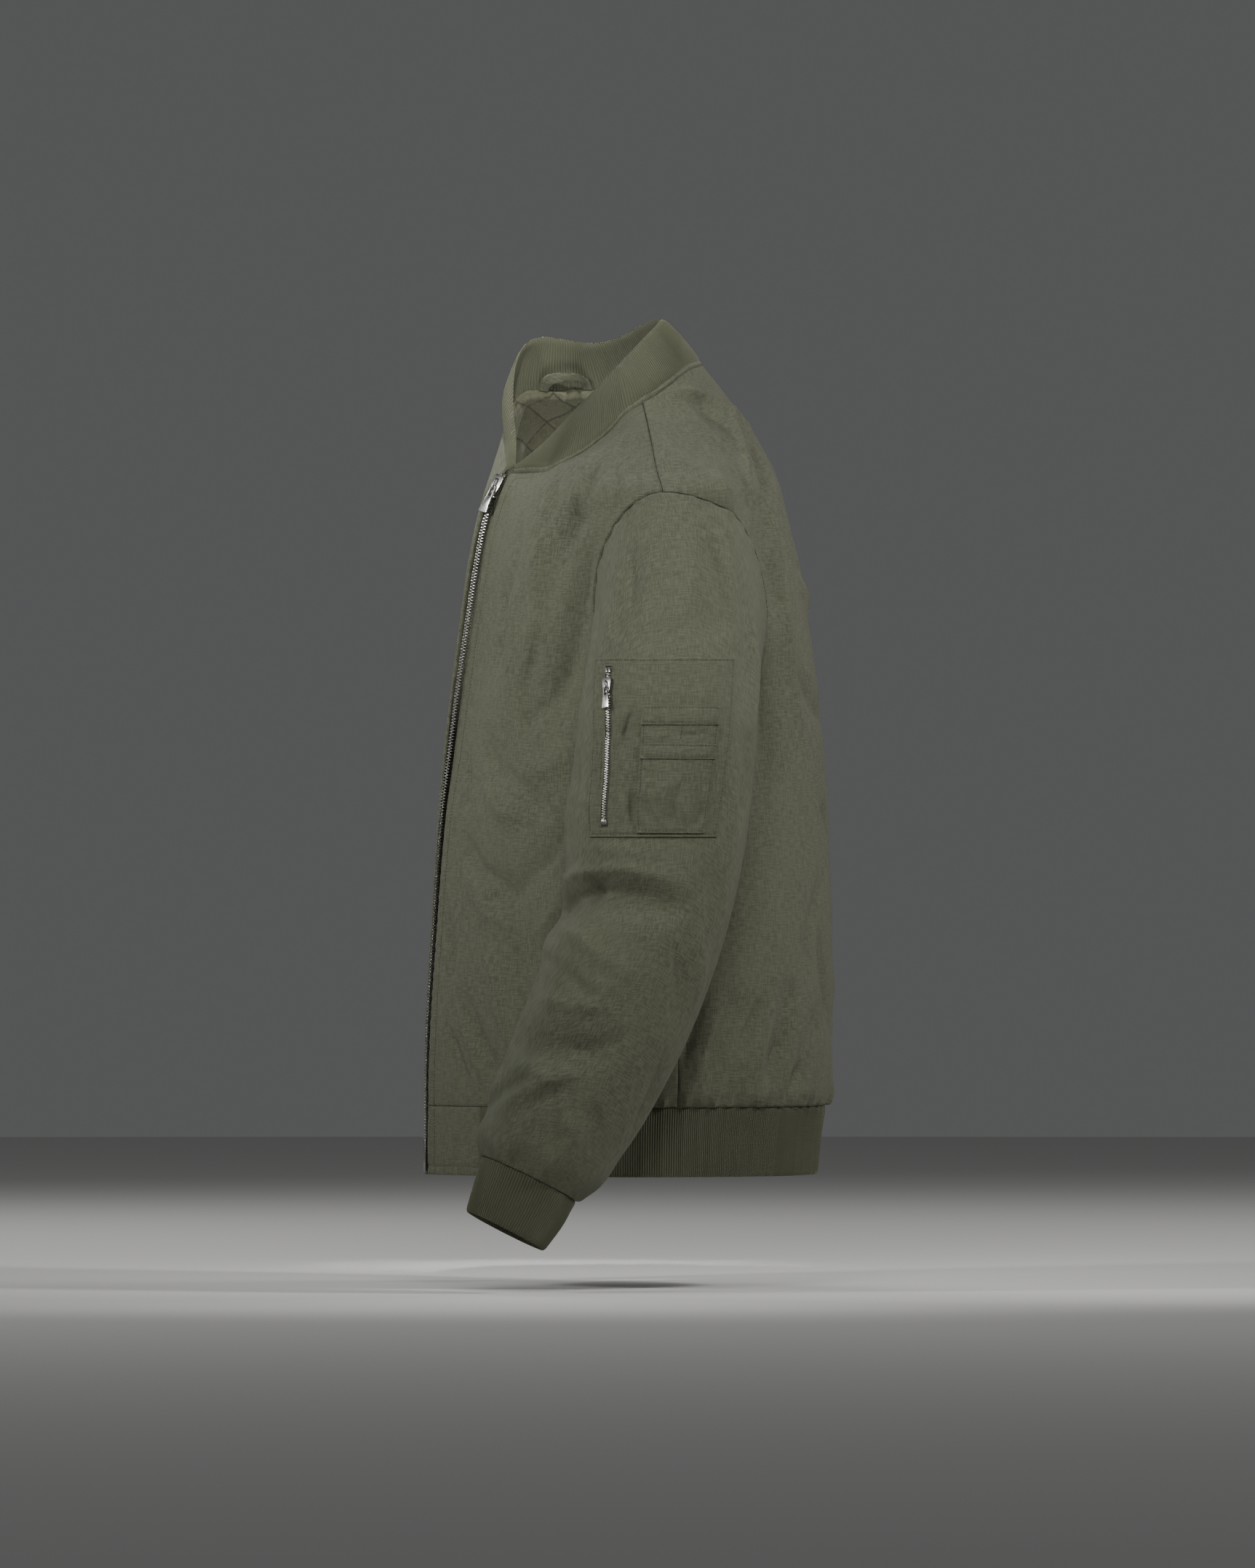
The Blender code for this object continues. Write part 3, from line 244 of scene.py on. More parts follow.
def cosine(degrees):
    return np.cos(np.radians(degrees))


def half_turns(turn):
    """The same turn, between -180 and 180 degrees."""
    return (turn + 180) % 360 - 180


def unit(vectors):
    return vectors / np.maximum(np.linalg.norm(vectors, axis=-1, keepdims=True), 1e-12)


def normals(surface, u, v, reach):
    """The ways straight out of a surface, from its slopes over a short reach."""
    along = surface(u + reach[0], v) - surface(u - reach[0], v)
    up = surface(u, v + reach[1]) - surface(u, v - reach[1])
    return unit(np.cross(along, up))


halfway = float(column(BODY_ROWS, BODY_COLUMNS, "half_width", (HEM_SEAM_Z + UNDERARM_Z) / 2))
print("halfway between hem and underarm the body is", round(2 * halfway), "mm wide")

# %% [markdown]
# ## Creases
#
# A crease in cloth is a soft trough or ridge along a wandering line, sharper at its crest than at its
# foot, and it dies away at both ends. So each one is given as a row: its half width, its height
# (below zero it is a trough) and the points it runs through. No two rows are alike, because no two creases
# in a worn jacket are. The broad ones are in the solids too; the narrow ones are only here.

# %% A crease along a line of points
CREASE_START, CREASE_END = (-0.12, 0.30), (0.66, 1.10)     # shares of a crease's length over which it swells and dies
CREST_SHARE, CREST_TIP, CREST_REACH = 0.55, 0.22, 0.5      # how much of it is a narrow crest, and the crest's shape


def creases(table, u, v, u_mm):
    """How far the creases of a table lift or sink each point (u, v) of the cloth."""
    total = np.zeros(np.broadcast(u, v).shape)
    for half_width, rise, *line in table:
        points = np.array(line, float) * [u_mm, 1.0]
        spans = np.diff(points, axis=0)
        lengths = np.linalg.norm(spans, axis=1)
        before = np.concatenate([[0], np.cumsum(lengths)])
        near = np.full(total.shape, np.inf)
        reached = np.zeros(total.shape)
        for start, span, length, done in zip(points, spans, lengths, before):
            across, along = u * u_mm - start[0], v - start[1]
            part = np.clip((across * span[0] + along * span[1]) / length**2, 0, 1)
            away = np.hypot(across - part * span[0], along - part * span[1])
            reached = np.where(away < near, done + part * length, reached)
            near = np.minimum(near, away)
        share = reached / before[-1]
        ends = ease(share, *CREASE_START) * (1 - ease(share, *CREASE_END))
        sharp = np.exp((CREST_TIP - np.hypot(near / half_width, CREST_TIP)) / CREST_REACH)
        total = total + rise * ends * ((1 - CREST_SHARE) * bell(near, 0, half_width) + CREST_SHARE * sharp)
    return total


def broad_folds(table, u, v, u_mm):
    """The folds that the solids have as well: (from, to, half width, rise)."""
    total = np.zeros(np.broadcast(u, v).shape)
    for u1, v1, u2, v2, half_width, rise in table:
        line = np.array([(u2 - u1) * u_mm, v2 - v1])
        across, along = (u - u1) * u_mm, v - v1
        part = np.clip((across * line[0] + along * line[1]) / (line @ line), 0, 1)
        total = total + rise * bell(np.hypot(across - part * line[0], along - part * line[1]), 0, half_width)
    return total


TURN_MM, ROUND_MM = 3.4, 1.25                              # a degree round the body and round a sleeve
print("a fold of half width 10 mm keeps", round(float(bell(10, 0, 10)), 2), "of its height 10 mm from its line")


# %% Folds of the body: (turn, height) points
BROAD_BODY = [
    (97, -48, 113, -80, 15, 5), (113, -80, 118, -150, 15, 5), (128, -85, 133, -165, 18, -6),
    (58, -64, 50, -104, 16, -5), (50, -104, 44, -165, 17, -6), (34, -300, 46, -345, 19, -4),
    (36, -420, 58, -520, 20, -5), (108, -517, 101, -558, 13, -4), (128, -512, 121, -555, 13, -4),
    (143, -535, 134, -578, 13, -4), (-56, -66, -48, -108, 16, -5), (-48, -108, -42, -172, 17, -6),
    (-33, -320, -50, -352, 19, -4), (-38, -430, -58, -528, 20, -5), (-96, -52, -113, -84, 15, 5),
    (-126, -90, -130, -170, 17, -6), (-118, -508, -112, -556, 13, -4), (-140, -530, -134, -580, 13, -4),
    (168, -520, 171, -578, 14, -4)]

BODY_CREASES = [
    # the hollow between the left front and the sleeve, with the swell before it, and the hollow behind the arm
    (22, -3.2, (62, -118), (60, -170), (57, -226), (52, -286)), (16, 1.5, (44, -130), (41, -190), (38, -256)),
    (13, -2.0, (57, -226), (49, -262), (37, -282)), (12, 1.5, (58, -300), (47, -318), (33, -322)),
    (17, -2.6, (124, -150), (120, -214), (122, -290), (118, -372)), (12, 1.6, (139, -150), (137, -220), (140, -300)),
    (14, -2.3, (60, -356), (52, -392), (40, -420), (27, -428)), (12, 1.6, (62, -404), (53, -440), (44, -470)),
    (13, -2.0, (150, -404), (141, -446), (136, -500)), (11, -1.7, (24, -100), (27, -140), (22, -186)),
    # behind the left shoulder: a ridge that leaves the collar, turns down at the blade, and its trough
    (7, 3.2, (107, 10), (125, 4), (134, -4), (144, -12), (160, -24)),
    (6, 2.8, (143, -12), (133, -44), (128, -72), (127, -110)),
    (11, -3.4, (150, -24), (143, -56), (137, -92), (134, -132)),
    (8, -2.2, (118, -6), (128, -16), (134, -30)),
    # in front of the left shoulder: the trough beside the collar and the light ridge before it
    (9, -1.5, (68, -30), (70, -52), (71, -72), (69, -106)),
    (11, -2.2, (69, -98), (58, -94), (50, -102), (49, -126), (53, -156)),
    (6, 2.6, (47, -44), (51, -68), (47, -98)),
    (7, -2.0, (36, -66), (40, -92), (36, -124)),
    (8, 2.2, (40, -108), (38, -140), (42, -180)),
    # the left front, from the chest down
    (9, -2.0, (18, -150), (24, -196), (22, -240)), (8, 1.8, (28, -168), (33, -214), (31, -262)),
    (8, -2.6, (44, -196), (40, -250), (42, -300)), (10, -2.2, (20, -286), (30, -318), (42, -330)),
    (7, 1.9, (24, -330), (33, -352), (46, -356)), (9, -2.4, (14, -372), (24, -402), (36, -416)),
    (8, 2.0, (16, -404), (28, -438), (42, -452)), (10, -3.0, (38, -458), (43, -500), (48, -542)),
    (6, 2.0, (30, -470), (34, -512), (38, -552)), (5, -2.0, (12, -536), (18, -566), (24, -594)),
    (6, -2.2, (20, -512), (29, -552), (38, -592)), (5, 1.8, (16, -520), (24, -556), (31, -590)),
    (6, -1.7, (9, -300), (13, -330), (12, -356)), (6, -1.6, (8, -440), (12, -470), (11, -505)),
    # the left side and the back by the hem
    (6, -2.6, (98, -508), (94, -540), (90, -572)), (5, 1.9, (103, -522), (98, -552), (95, -584)),
    (6, -2.8, (118, -508), (113, -536), (108, -560)), (5, 1.8, (123, -526), (118, -556), (114, -586)),
    (6, -2.6, (128, -534), (123, -560), (118, -590)), (5, -2.2, (136, -566), (130, -588), (126, -602)),
    (8, 2.2, (84, -470), (79, -520), (82, -566)), (9, -2.4, (72, -482), (68, -524), (74, -570)),
    (6, 1.6, (62, -500), (58, -540), (62, -584)),
    # the middle of the back
    (12, -2.6, (176, -70), (168, -96), (158, -116)), (10, -2.2, (186, -82), (197, -104), (206, -132)),
    (9, 2.0, (150, -150), (160, -168), (176, -176)), (11, -2.2, (140, -230), (152, -262), (170, -274)),
    (9, 1.9, (196, -196), (208, -222), (222, -262)), (10, -2.2, (188, -316), (206, -338), (226, -342)),
    (9, -2.0, (150, -340), (162, -366), (166, -408)), (10, 2.0, (174, -420), (186, -452), (204, -462)),
    (11, -2.4, (146, -446), (150, -492), (158, -540)), (8, 1.9, (166, -486), (168, -530), (174, -576)),
    (9, -2.4, (186, -498), (189, -540), (184, -588)), (8, 1.8, (204, -500), (201, -548), (206, -586)),
    (9, -2.5, (222, -486), (219, -530), (224, -578)), (7, -2.0, (240, -520), (238, -556), (243, -590)),
    # the hidden right side, uneven in its own way
    (9, 2.6, (-104, 6), (-122, -2), (-138, -16), (-152, -30)), (11, -3.0, (-146, -30), (-140, -64), (-136, -110)),
    (8, -2.8, (-72, -20), (-71, -52), (-69, -98)), (9, -2.8, (-66, -100), (-54, -96), (-47, -118), (-50, -150)),
    (7, 2.1, (-44, -60), (-48, -88), (-43, -116)), (9, -2.1, (-20, -160), (-27, -204), (-24, -246)),
    (8, -2.4, (-41, -206), (-38, -256), (-43, -306)), (9, -2.2, (-18, -304), (-30, -334), (-44, -340)),
    (8, 2.0, (-16, -392), (-27, -424), (-41, -436)), (10, -2.8, (-40, -462), (-45, -506), (-48, -552)),
    (5, -2.0, (-14, -530), (-20, -562), (-26, -592)), (6, -2.2, (-24, -508), (-31, -546), (-40, -588)),
    (8, 2.0, (-78, -480), (-82, -524), (-80, -570)), (7, -2.3, (-90, -512), (-94, -546), (-92, -586))]


# %% Gathers at the hem: (turn, length up from the seam, half width, rise, lean in degrees of turn)
HEM_GATHERS = [
    (36, 18, 3.0, 1.2, 2), (43, 30, 3.6, 1.8, 4), (50, 22, 3.0, 1.5, -2), (56, 40, 4.0, 2.0, 4),
    (63, 24, 3.2, 1.6, 1), (69, 34, 3.8, 2.0, -3), (75, 20, 3.0, 1.5, 2), (81, 38, 3.6, 2.1, -2),
    (86, 26, 3.2, 1.9, 1), (92, 30, 3.4, 1.8, 3), (97, 22, 3.0, 1.6, 1), (101, 44, 3.8, 2.3, 4),
    (106, 26, 3.2, 1.9, 2), (111, 32, 3.4, 1.8, 3), (117, 46, 4.0, 2.4, 5), (122, 24, 3.0, 1.6, 2),
    (126, 40, 3.8, 2.2, 4), (132, 28, 3.4, 1.7, 3), (138, 36, 3.8, 2.0, 2), (144, 22, 3.2, 1.5, -1),
    (151, 34, 3.8, 1.9, 2), (157, 24, 3.2, 1.5, -2), (164, 40, 4.0, 2.0, 1), (170, 22, 3.2, 1.4, 1),
    (177, 32, 3.6, 1.8, -2), (183, 24, 3.2, 1.5, 2), (190, 36, 3.8, 2.0, -1), (196, 22, 3.2, 1.5, 1),
    (203, 30, 3.6, 1.8, -3), (210, 38, 3.8, 2.0, -2), (216, 22, 3.0, 1.5, 1), (223, 34, 3.8, 2.0, -4),
    (229, 26, 3.2, 1.6, -1), (236, 42, 4.0, 2.1, -3), (243, 24, 3.2, 1.6, 2), (249, 32, 3.6, 1.9, -2),
    (255, 22, 3.0, 1.5, 1), (262, 36, 3.8, 2.0, -3), (269, 26, 3.2, 1.7, -1), (275, 34, 3.6, 1.9, 2),
    (282, 22, 3.0, 1.5, -2), (289, 38, 3.8, 2.0, -3), (296, 26, 3.2, 1.6, 2), (303, 34, 3.8, 1.9, -4),
    (310, 22, 3.0, 1.5, 1), (317, 30, 3.4, 1.7, -3), (324, 18, 3.0, 1.2, -2)]
HEM_WAVE, HEM_PLEAT = 1.9, 2.3


def pleat(away, share, half_width, widening):
    """A short pleat that widens and dies as it leaves its seam; share is how far along it a point is."""
    return bell(away, 0, half_width * (1 + widening * share)) * np.exp(-2.2 * share**1.5)


def hem_gathers(turn, height):
    """The cloth is cut wider than the rib, so it stands in small pleats above the seam."""
    climb = np.maximum(height - HEM_SEAM_Z, 0.0)
    drawn = cosine(turn * 22) + 0.7 * cosine(turn * 15 + 40)
    ribbed = ease(np.abs(half_turns(turn)), 22, 34)        # not over the plain blocks beside the zip
    total = HEM_WAVE * drawn * np.exp(-climb / 26.0) * ease(climb, 0, 9) * ribbed
    for middle, length, half_width, rise, lean in HEM_GATHERS:
        share = np.clip(climb / length, 0, 2)
        away = half_turns(turn - middle - lean * share) * TURN_MM
        total = total + HEM_PLEAT * rise * pleat(away, share, half_width, 0.8) * ease(climb, -1.0, 3.0)
    return total


print("creases on the body", len(BODY_CREASES), "and pleats at the hem", len(HEM_GATHERS))

# %% [markdown]
# ## The body as one surface
#
# Fronts and back are cut apart but lie on one form, so the form is a function: give it how far round you
# are (0 at the zip, 90 at the left side seam, 180 at the middle of the back) and how high, and it gives the
# point. Panels cut from the same function meet exactly, and what is sewn on is the same point moved out.

# %% Body surface
CREASE_DEPTH, SLEEVE_CREASE_DEPTH = 2.5, 1.9


def body_form(turn, height):
    read = {name: column(BODY_ROWS, BODY_COLUMNS, name, height) for name in BODY_COLUMNS[1:]}
    sideways, forward = sine(turn), cosine(turn)
    side = np.abs(sideways)
    front = (read["front_y"] - read["seam_y"]) * forward * (1 - read["prow"] * side * (1 - side))
    back = (read["seam_y"] - read["back_y"]) * forward * (1 + read["fullness"] * side * (1 - side) * 4)
    x = read["half_width"] * sideways
    step = read["step"] * ease(x, *FRONT_STEP) * (1 - ease(x, *STEP_FADE))
    y = read["seam_y"] + np.where(forward > 0, front + step, back)
    return np.stack(np.broadcast_arrays(x, y, height), axis=-1).astype(float)


def body_out(turn, height):
    return normals(body_form, np.asarray(turn, float), np.asarray(height, float), (0.6, 1.5))


def off_the_seams(turn, height):
    """0 beside the armholes and the neck seam, 1 away from them, so that neighbours still meet there."""
    size = np.abs(half_turns(turn))
    spread = np.where(size < 90, ARMHOLE_FRONT_TURN, ARMHOLE_BACK_TURN)
    from_hole = np.hypot((size - 90) / spread, (height - ARMHOLE_MIDDLE_Z) / ARMHOLE_HALF)
    neck = np.interp(size, np.maximum.accumulate(NECK_ROWS[:, 1]), NECK_ROWS[:, 2])
    return ease(from_hole, 1.0, 1.13) * ease(neck - height, 0.0, 14.0)


def body(turn, height, out=0.0, fine=True):
    turn, height = np.asarray(turn, float), np.asarray(height, float)
    shown = half_turns(turn)
    rise = broad_folds(BROAD_BODY, shown, height, TURN_MM)
    if fine:
        behind = np.where(shown < -150, shown + 360, shown)      # creases of the back are written from 0 to 300
        extra = creases([row for row in BODY_CREASES if row[2][0] >= 0], behind, height, TURN_MM)
        extra = extra + creases([row for row in BODY_CREASES if row[2][0] < 0], shown, height, TURN_MM)
        rise = rise + CREASE_DEPTH * extra * off_the_seams(turn, height)
    rise = rise * ease(height, HEM_SEAM_Z, HEM_SEAM_Z + 20)
    if fine:
        rise = rise + hem_gathers(turn, height)
    return body_form(turn, height) + body_out(turn, height) * (rise + out)[..., None]


def zip_turn(height, away):
    """The turn that lies `away` from the middle of the zip, measured along the cloth."""
    height, away = np.broadcast_arrays(np.asarray(height, float), np.asarray(away, float))
    turns = np.linspace(0, 8, 81)
    flat = height.reshape(-1)
    steps = np.linalg.norm(np.diff(body_form(turns[None, :], flat[:, None]), axis=1), axis=-1)
    reached = np.concatenate([np.zeros((len(flat), 1)), np.cumsum(steps, axis=1)], axis=1)
    found = np.array([np.interp(abs(far), row, turns) for far, row in zip(away.reshape(-1), reached)])
    return np.sign(away) * found.reshape(height.shape)


chest_line = body_form(np.linspace(0, 360, 241), np.full(241, UNDERARM_Z))
print("chest girth", round(float(np.linalg.norm(np.diff(chest_line, axis=0), axis=1).sum())), "mm")

# %% [markdown]
# ## The seams that several pieces share
#
# The neck seam and the armholes are lines on the body. The collar and the sleeves start from those lines
# and leave along the cloth's own direction, which is why a sleeve head stands out of the shoulder instead
# of being stuck against it.

# %% Neck seam and armholes
def neck_place(around):
    around = np.asarray(around, float)
    size = np.minimum(around, 360 - around)
    turn = column(NECK_ROWS, NECK_COLUMNS, "turn", size)
    return np.where(around > 180, 360 - turn, turn), column(NECK_ROWS, NECK_COLUMNS, "height", size)


def armhole_place(side, around):
    spread = np.where(sine(around) > 0, ARMHOLE_FRONT_TURN, ARMHOLE_BACK_TURN)
    return side * (90 - spread * sine(around)), ARMHOLE_MIDDLE_Z + ARMHOLE_HALF * cosine(around)


def edge_frame(place, around):
    here = body(*place(around), fine=False)
    out = body_out(*place(around))
    along = body(*place(around + 0.5), fine=False) - body(*place(around - 0.5), fine=False)
    return here, out, unit(np.cross(out, along))


LIFT, LIFT_TURN, LIFT_SPREAD, LIFT_FORWARD = 51.0, 74.0, (30.0, 25.0), 0.50
LIFT_MIDDLE_Y, LIFT_FADE = -30.0, (98.0, 225.0)            # the lift's own middle, and how far from it the lift ends


def lift_right_neck(points):
    """The wearer's right side of the neck stands up higher and further forward."""
    x, y, z = points[..., 0], points[..., 1] - LIFT_MIDDLE_Y, points[..., 2]
    turn = np.degrees(np.arctan2(-x, -y))
    spread = np.where(turn < LIFT_TURN, *LIFT_SPREAD)
    rise = LIFT * bell(turn, LIFT_TURN, spread) * (1 - ease(np.hypot(x, y), *LIFT_FADE)) * ease(z, -190.0, -48.0)
    return points + np.stack([np.zeros_like(rise), -LIFT_FORWARD * rise * ease(z, -84.0, -30.0), rise], axis=-1)


print("armhole depth", round(SHOULDER_TIP_Z - UNDERARM_Z), "mm")

# %% [markdown]
# ## The sleeve as one surface
#
# A sleeve is a tube of rings. Above the first ring it is a cap, a curve that starts along the armhole's
# edge and arrives on the tube going straight down. The elbow's fold, the fullness over the cuff and the
# puckers where the wide cloth is drawn into the narrow rib are what make it look like a sleeve.

# %% Folds of the sleeves: (round, height) points
BROAD_SLEEVE = {
    1: [(98, -437, 48, -419, 11, -8), (48, -419, -6, -436, 11, -7), (100, -462, 20, -502, 13, 4),
        (75, -545, 5, -560, 13, -4), (96, -600, 50, -578, 9, -5), (20, -205, -25, -192, 12, -3)],
    -1: [(96, -442, 40, -424, 11, -8), (40, -424, -10, -446, 11, -7), (98, -470, 26, -508, 13, 4),
         (70, -540, 0, -566, 13, -4), (92, -612, 40, -588, 9, -5), (24, -212, -28, -190, 12, -3)]}

SLEEVE_CREASES = {
    1: [
        # the elbow's arch, with a ridge above and below it
        (12, -2.2, (96, -452), (60, -438), (26, -436), (2, -446)), (13, 1.9, (58, -380), (30, -386), (2, -388)),
        (14, -1.8, (40, -214), (46, -180), (58, -150)), (13, -1.7, (-30, -400), (-42, -430), (-46, -470)),
        (7, -2.3, (112, -440), (74, -425), (50, -418), (23, -418), (7, -421), (-8, -427), (-22, -440)),
        (8, 2.0, (108, -446), (78, -446), (47, -460), (13, -484), (-8, -494)),
        (6, 2.6, (100, -414), (62, -403), (28, -400), (0, -406), (-18, -416)),
        (6, -2.6, (92, -474), (62, -480), (38, -494), (20, -512)),
        (8, 2.4, (70, -508), (34, -515), (4, -520)), (11, -2.0, (62, -540), (34, -548), (12, -554), (-14, -542)),
        (7, 2.2, (58, -566), (30, -576), (4, -572)),
        # the forearm above the cuff
        (6, -1.6, (48, -610), (36, -602), (24, -592), (12, -582)), (6, 2.4, (60, -596), (40, -586), (22, -576)),
        (6, -2.2, (-6, -600), (-18, -614), (-26, -634)), (6, 2.0, (10, -604), (-6, -622), (-14, -640)),
        (6, -2.4, (98, -560), (84, -574), (76, -596)), (7, -2.4, (-20, -470), (-34, -500), (-40, -536)),
        (8, 2.0, (-34, -452), (-50, -486), (-60, -520)), (7, -2.2, (-44, -560), (-56, -590), (-60, -626)),
        # the sleeve head and the upper arm
        (8, -2.4, (34, -122), (30, -150), (34, -190)), (9, -2.6, (-22, -112), (-30, -150), (-34, -196)),
        (8, 2.0, (-8, -118), (-12, -150), (-8, -186)), (7, 2.0, (50, -140), (52, -180), (58, -214)),
        (9, -2.4, (72, -170), (78, -214), (74, -262)), (9, -2.6, (-46, -150), (-54, -200), (-50, -256)),
        (8, 2.2, (-60, -190), (-68, -236), (-62, -290)), (8, -2.2, (-52, -280), (-60, -318), (-54, -366)),
        (7, 1.8, (-46, -330), (-52, -370), (-46, -408)), (8, -2.2, (84, -300), (78, -340), (82, -384)),
        # inside the crook and towards the body
        (8, -3.0, (120, -424), (150, -430), (184, -440)), (7, 2.2, (128, -448), (160, -456), (190, -462)),
        (9, -2.4, (130, -300), (150, -330), (160, -370)), (9, -2.4, (210, -330), (222, -372), (226, -420)),
        (8, 2.0, (180, -380), (196, -400), (214, -404)), (9, -2.4, (140, -500), (160, -530), (176, -570)),
        (8, -2.2, (220, -500), (230, -540), (226, -590)),
        # under the pocket, which is made from the sleeve's points and so has these creases too
        (4, -1.7, (25, -258), (34, -277), (38, -292), (38, -312)), (4, 1.3, (32, -262), (40, -284), (43, -308)),
        (4, -1.6, (29, -316), (30, -334), (24, -348), (22, -364)), (4, -1.5, (-22, -344), (-16, -356), (-10, -368)),
        (5, 1.2, (2, -322), (6, -340), (4, -358)), (4, -1.2, (-12, -318), (-8, -336), (-10, -352))],
    -1: [
        (7, -2.3, (108, -446), (72, -430), (44, -424), (18, -426), (-4, -438), (-20, -450)),
        (8, 2.0, (100, -458), (72, -460), (42, -474), (12, -492)),
        (6, 2.4, (96, -418), (58, -408), (22, -408), (-6, -420)),
        (11, -2.0, (66, -530), (32, -546), (6, -556), (-16, -552)), (8, 2.2, (60, -504), (28, -514), (0, -522)),
        (6, -1.6, (54, -612), (38, -602), (20, -588)), (6, 2.2, (66, -598), (44, -584), (22, -574)),
        (6, -2.2, (-8, -596), (-20, -616), (-24, -636)), (7, -2.4, (-26, -476), (-38, -510), (-42, -540)),
        (8, -2.4, (30, -126), (34, -158), (28, -196)), (9, -2.6, (-26, -116), (-32, -156), (-28, -204)),
        (7, 2.0, (6, -130), (2, -166), (8, -200)), (10, -2.8, (22, -236), (34, -276), (28, -326)),
        (8, 2.2, (4, -262), (10, -306), (2, -346)), (9, -2.4, (-18, -300), (-8, -346), (-16, -390)),
        (9, -2.4, (76, -176), (82, -220), (76, -270)), (9, -2.6, (-50, -160), (-56, -210), (-50, -270)),
        (8, 2.0, (-62, -240), (-70, -286), (-62, -336)), (8, -2.2, (-56, -360), (-62, -402), (-54, -450)),
        (8, -2.2, (88, -310), (80, -350), (86, -392)), (8, -3.0, (122, -430), (152, -436), (184, -446)),
        (9, -2.4, (140, -500), (164, -536), (178, -580)), (9, -2.4, (212, -330), (226, -380), (222, -430)),
        (8, -2.2, (-46, -570), (-58, -600), (-56, -636)), (7, 2.0, (178, -300), (190, -340), (186, -384))]}
print("creases on the left sleeve", len(SLEEVE_CREASES[1]), "and on the right", len(SLEEVE_CREASES[-1]))

# %% Puckers over the cuff and round the sleeve head: (round, length, half width, rise)
CUFF_PUCKERS = [
    (-162, 30, 4.0, 1.9), (-140, 22, 3.4, 1.6), (-118, 34, 4.2, 2.0), (-98, 26, 3.6, 1.8), (-80, 34, 4.0, 2.1),
    (-62, 24, 3.4, 1.8), (-46, 38, 4.2, 2.3), (-30, 26, 3.4, 1.8), (-16, 30, 3.6, 2.0), (-2, 40, 4.2, 2.5),
    (12, 24, 3.2, 1.7), (23, 36, 3.8, 2.3), (37, 46, 4.2, 2.7), (50, 26, 3.2, 1.9), (63, 38, 3.8, 2.3),
    (77, 26, 3.4, 1.8), (92, 34, 4.0, 2.1), (110, 24, 3.6, 1.7), (128, 32, 4.0, 2.0), (148, 24, 3.6, 1.7),
    (168, 34, 4.0, 1.9)]
HEAD_PUCKERS = [
    (-74, 14, 3.2, 0.8), (-60, 20, 3.6, 1.1), (-48, 14, 3.0, 0.9), (-37, 20, 3.4, 1.3), (-26, 15, 3.0, 1.0),
    (-15, 22, 3.4, 1.4), (-5, 14, 2.8, 1.0), (5, 20, 3.2, 1.3), (15, 15, 3.0, 1.0), (26, 22, 3.4, 1.4),
    (37, 15, 3.0, 1.0), (49, 20, 3.4, 1.2), (62, 15, 3.2, 0.9), (76, 18, 3.4, 0.9)]
print("puckers over each cuff", len(CUFF_PUCKERS), "and round each head", len(HEAD_PUCKERS))


# %% Form of a sleeve
HEAD_WAY = (0.86, -0.42)                                   # out and down, the way a sleeve leaves its armhole
HEAD_LEAVE, HEAD_ARRIVE = (28, 72), (22, 95)               # the cap's fullness under the arm, and what the top adds


def sleeve_form(side, around, ring):
    low = np.maximum(ring, 1.0)
    read = {name: column(SLEEVE_ROWS, SLEEVE_COLUMNS, name, low) for name in SLEEVE_COLUMNS[1:]}
    forward_y = (read["front_y"] - read["back_y"]) / 2
    forward_z = (read["front_z"] - read["back_z"]) / 2
    back_shift = smooth(STRAIGHTER_ROWS[:, 0], STRAIGHTER_ROWS[:, 1], low) if side < 0 else 0.0
    tube = np.stack(np.broadcast_arrays(
        side * (read["middle_x"] + read["half_thickness"] * cosine(around)),
        (read["front_y"] + read["back_y"]) / 2 + forward_y * sine(around) + back_shift,
        (read["front_z"] + read["back_z"]) / 2 + forward_z * sine(around)), axis=-1)
    edge, _, off_edge = edge_frame(lambda a: armhole_place(side, a), around)
    edge = edge + off_edge * side * ARMHOLE_STEP
    top = ease(cosine(around), -1.0, 1.0)[..., None]
    leave = np.array([side * HEAD_WAY[0], 0, HEAD_WAY[1]]) * (HEAD_LEAVE[0] + HEAD_LEAVE[1] * top)
    arrive = np.array([0, 0, -1.0]) * (HEAD_ARRIVE[0] + HEAD_ARRIVE[1] * top)
    part = np.clip(ring, 0, 1)[..., None]
    cap = (edge * (2 * part**3 - 3 * part**2 + 1) + leave * (part**3 - 2 * part**2 + part)
           + tube * (3 * part**2 - 2 * part**3) + arrive * (part**3 - part**2))
    return np.where(np.asarray(ring)[..., None] < 1, cap, tube)


def sleeve_out(side, around, ring):
    form = lambda u, v: sleeve_form(side, u, v)
    own = normals(form, around, np.clip(ring, 0.03, CUFF_END_RING - 0.03), (1.0, 0.02)) * side
    body_way = body_out(*armhole_place(side, around))
    share = ease(ring, 0.0, 0.10)[..., None]
    return unit(own * share + body_way * (1 - share))


# %% Surface of a sleeve
RING_MM, HEAD_RING_MM = 46.0, 150.0                        # from one ring to the next over the cuff, and in the cap
BLOUSE, BLOUSE_RING, BLOUSE_HALF = 5.0, 9.55, 0.28         # the fullness that hangs over the cuff
CUFF_WAVE, HEAD_PUCKER = 1.6, 2.6


def puckers(table, around, far):
    """Short pleats that run away from a gathered seam; far is the distance from it in millimetres."""
    total = np.zeros(np.broadcast(around, far).shape)
    for middle, length, half_width, rise in table:
        share = np.clip(far / length, 0, 2)
        away = half_turns(around - middle) * ROUND_MM
        total = total + rise * pleat(away, share, half_width, 0.7) * ease(far, -1.0, 3.0)
    return total


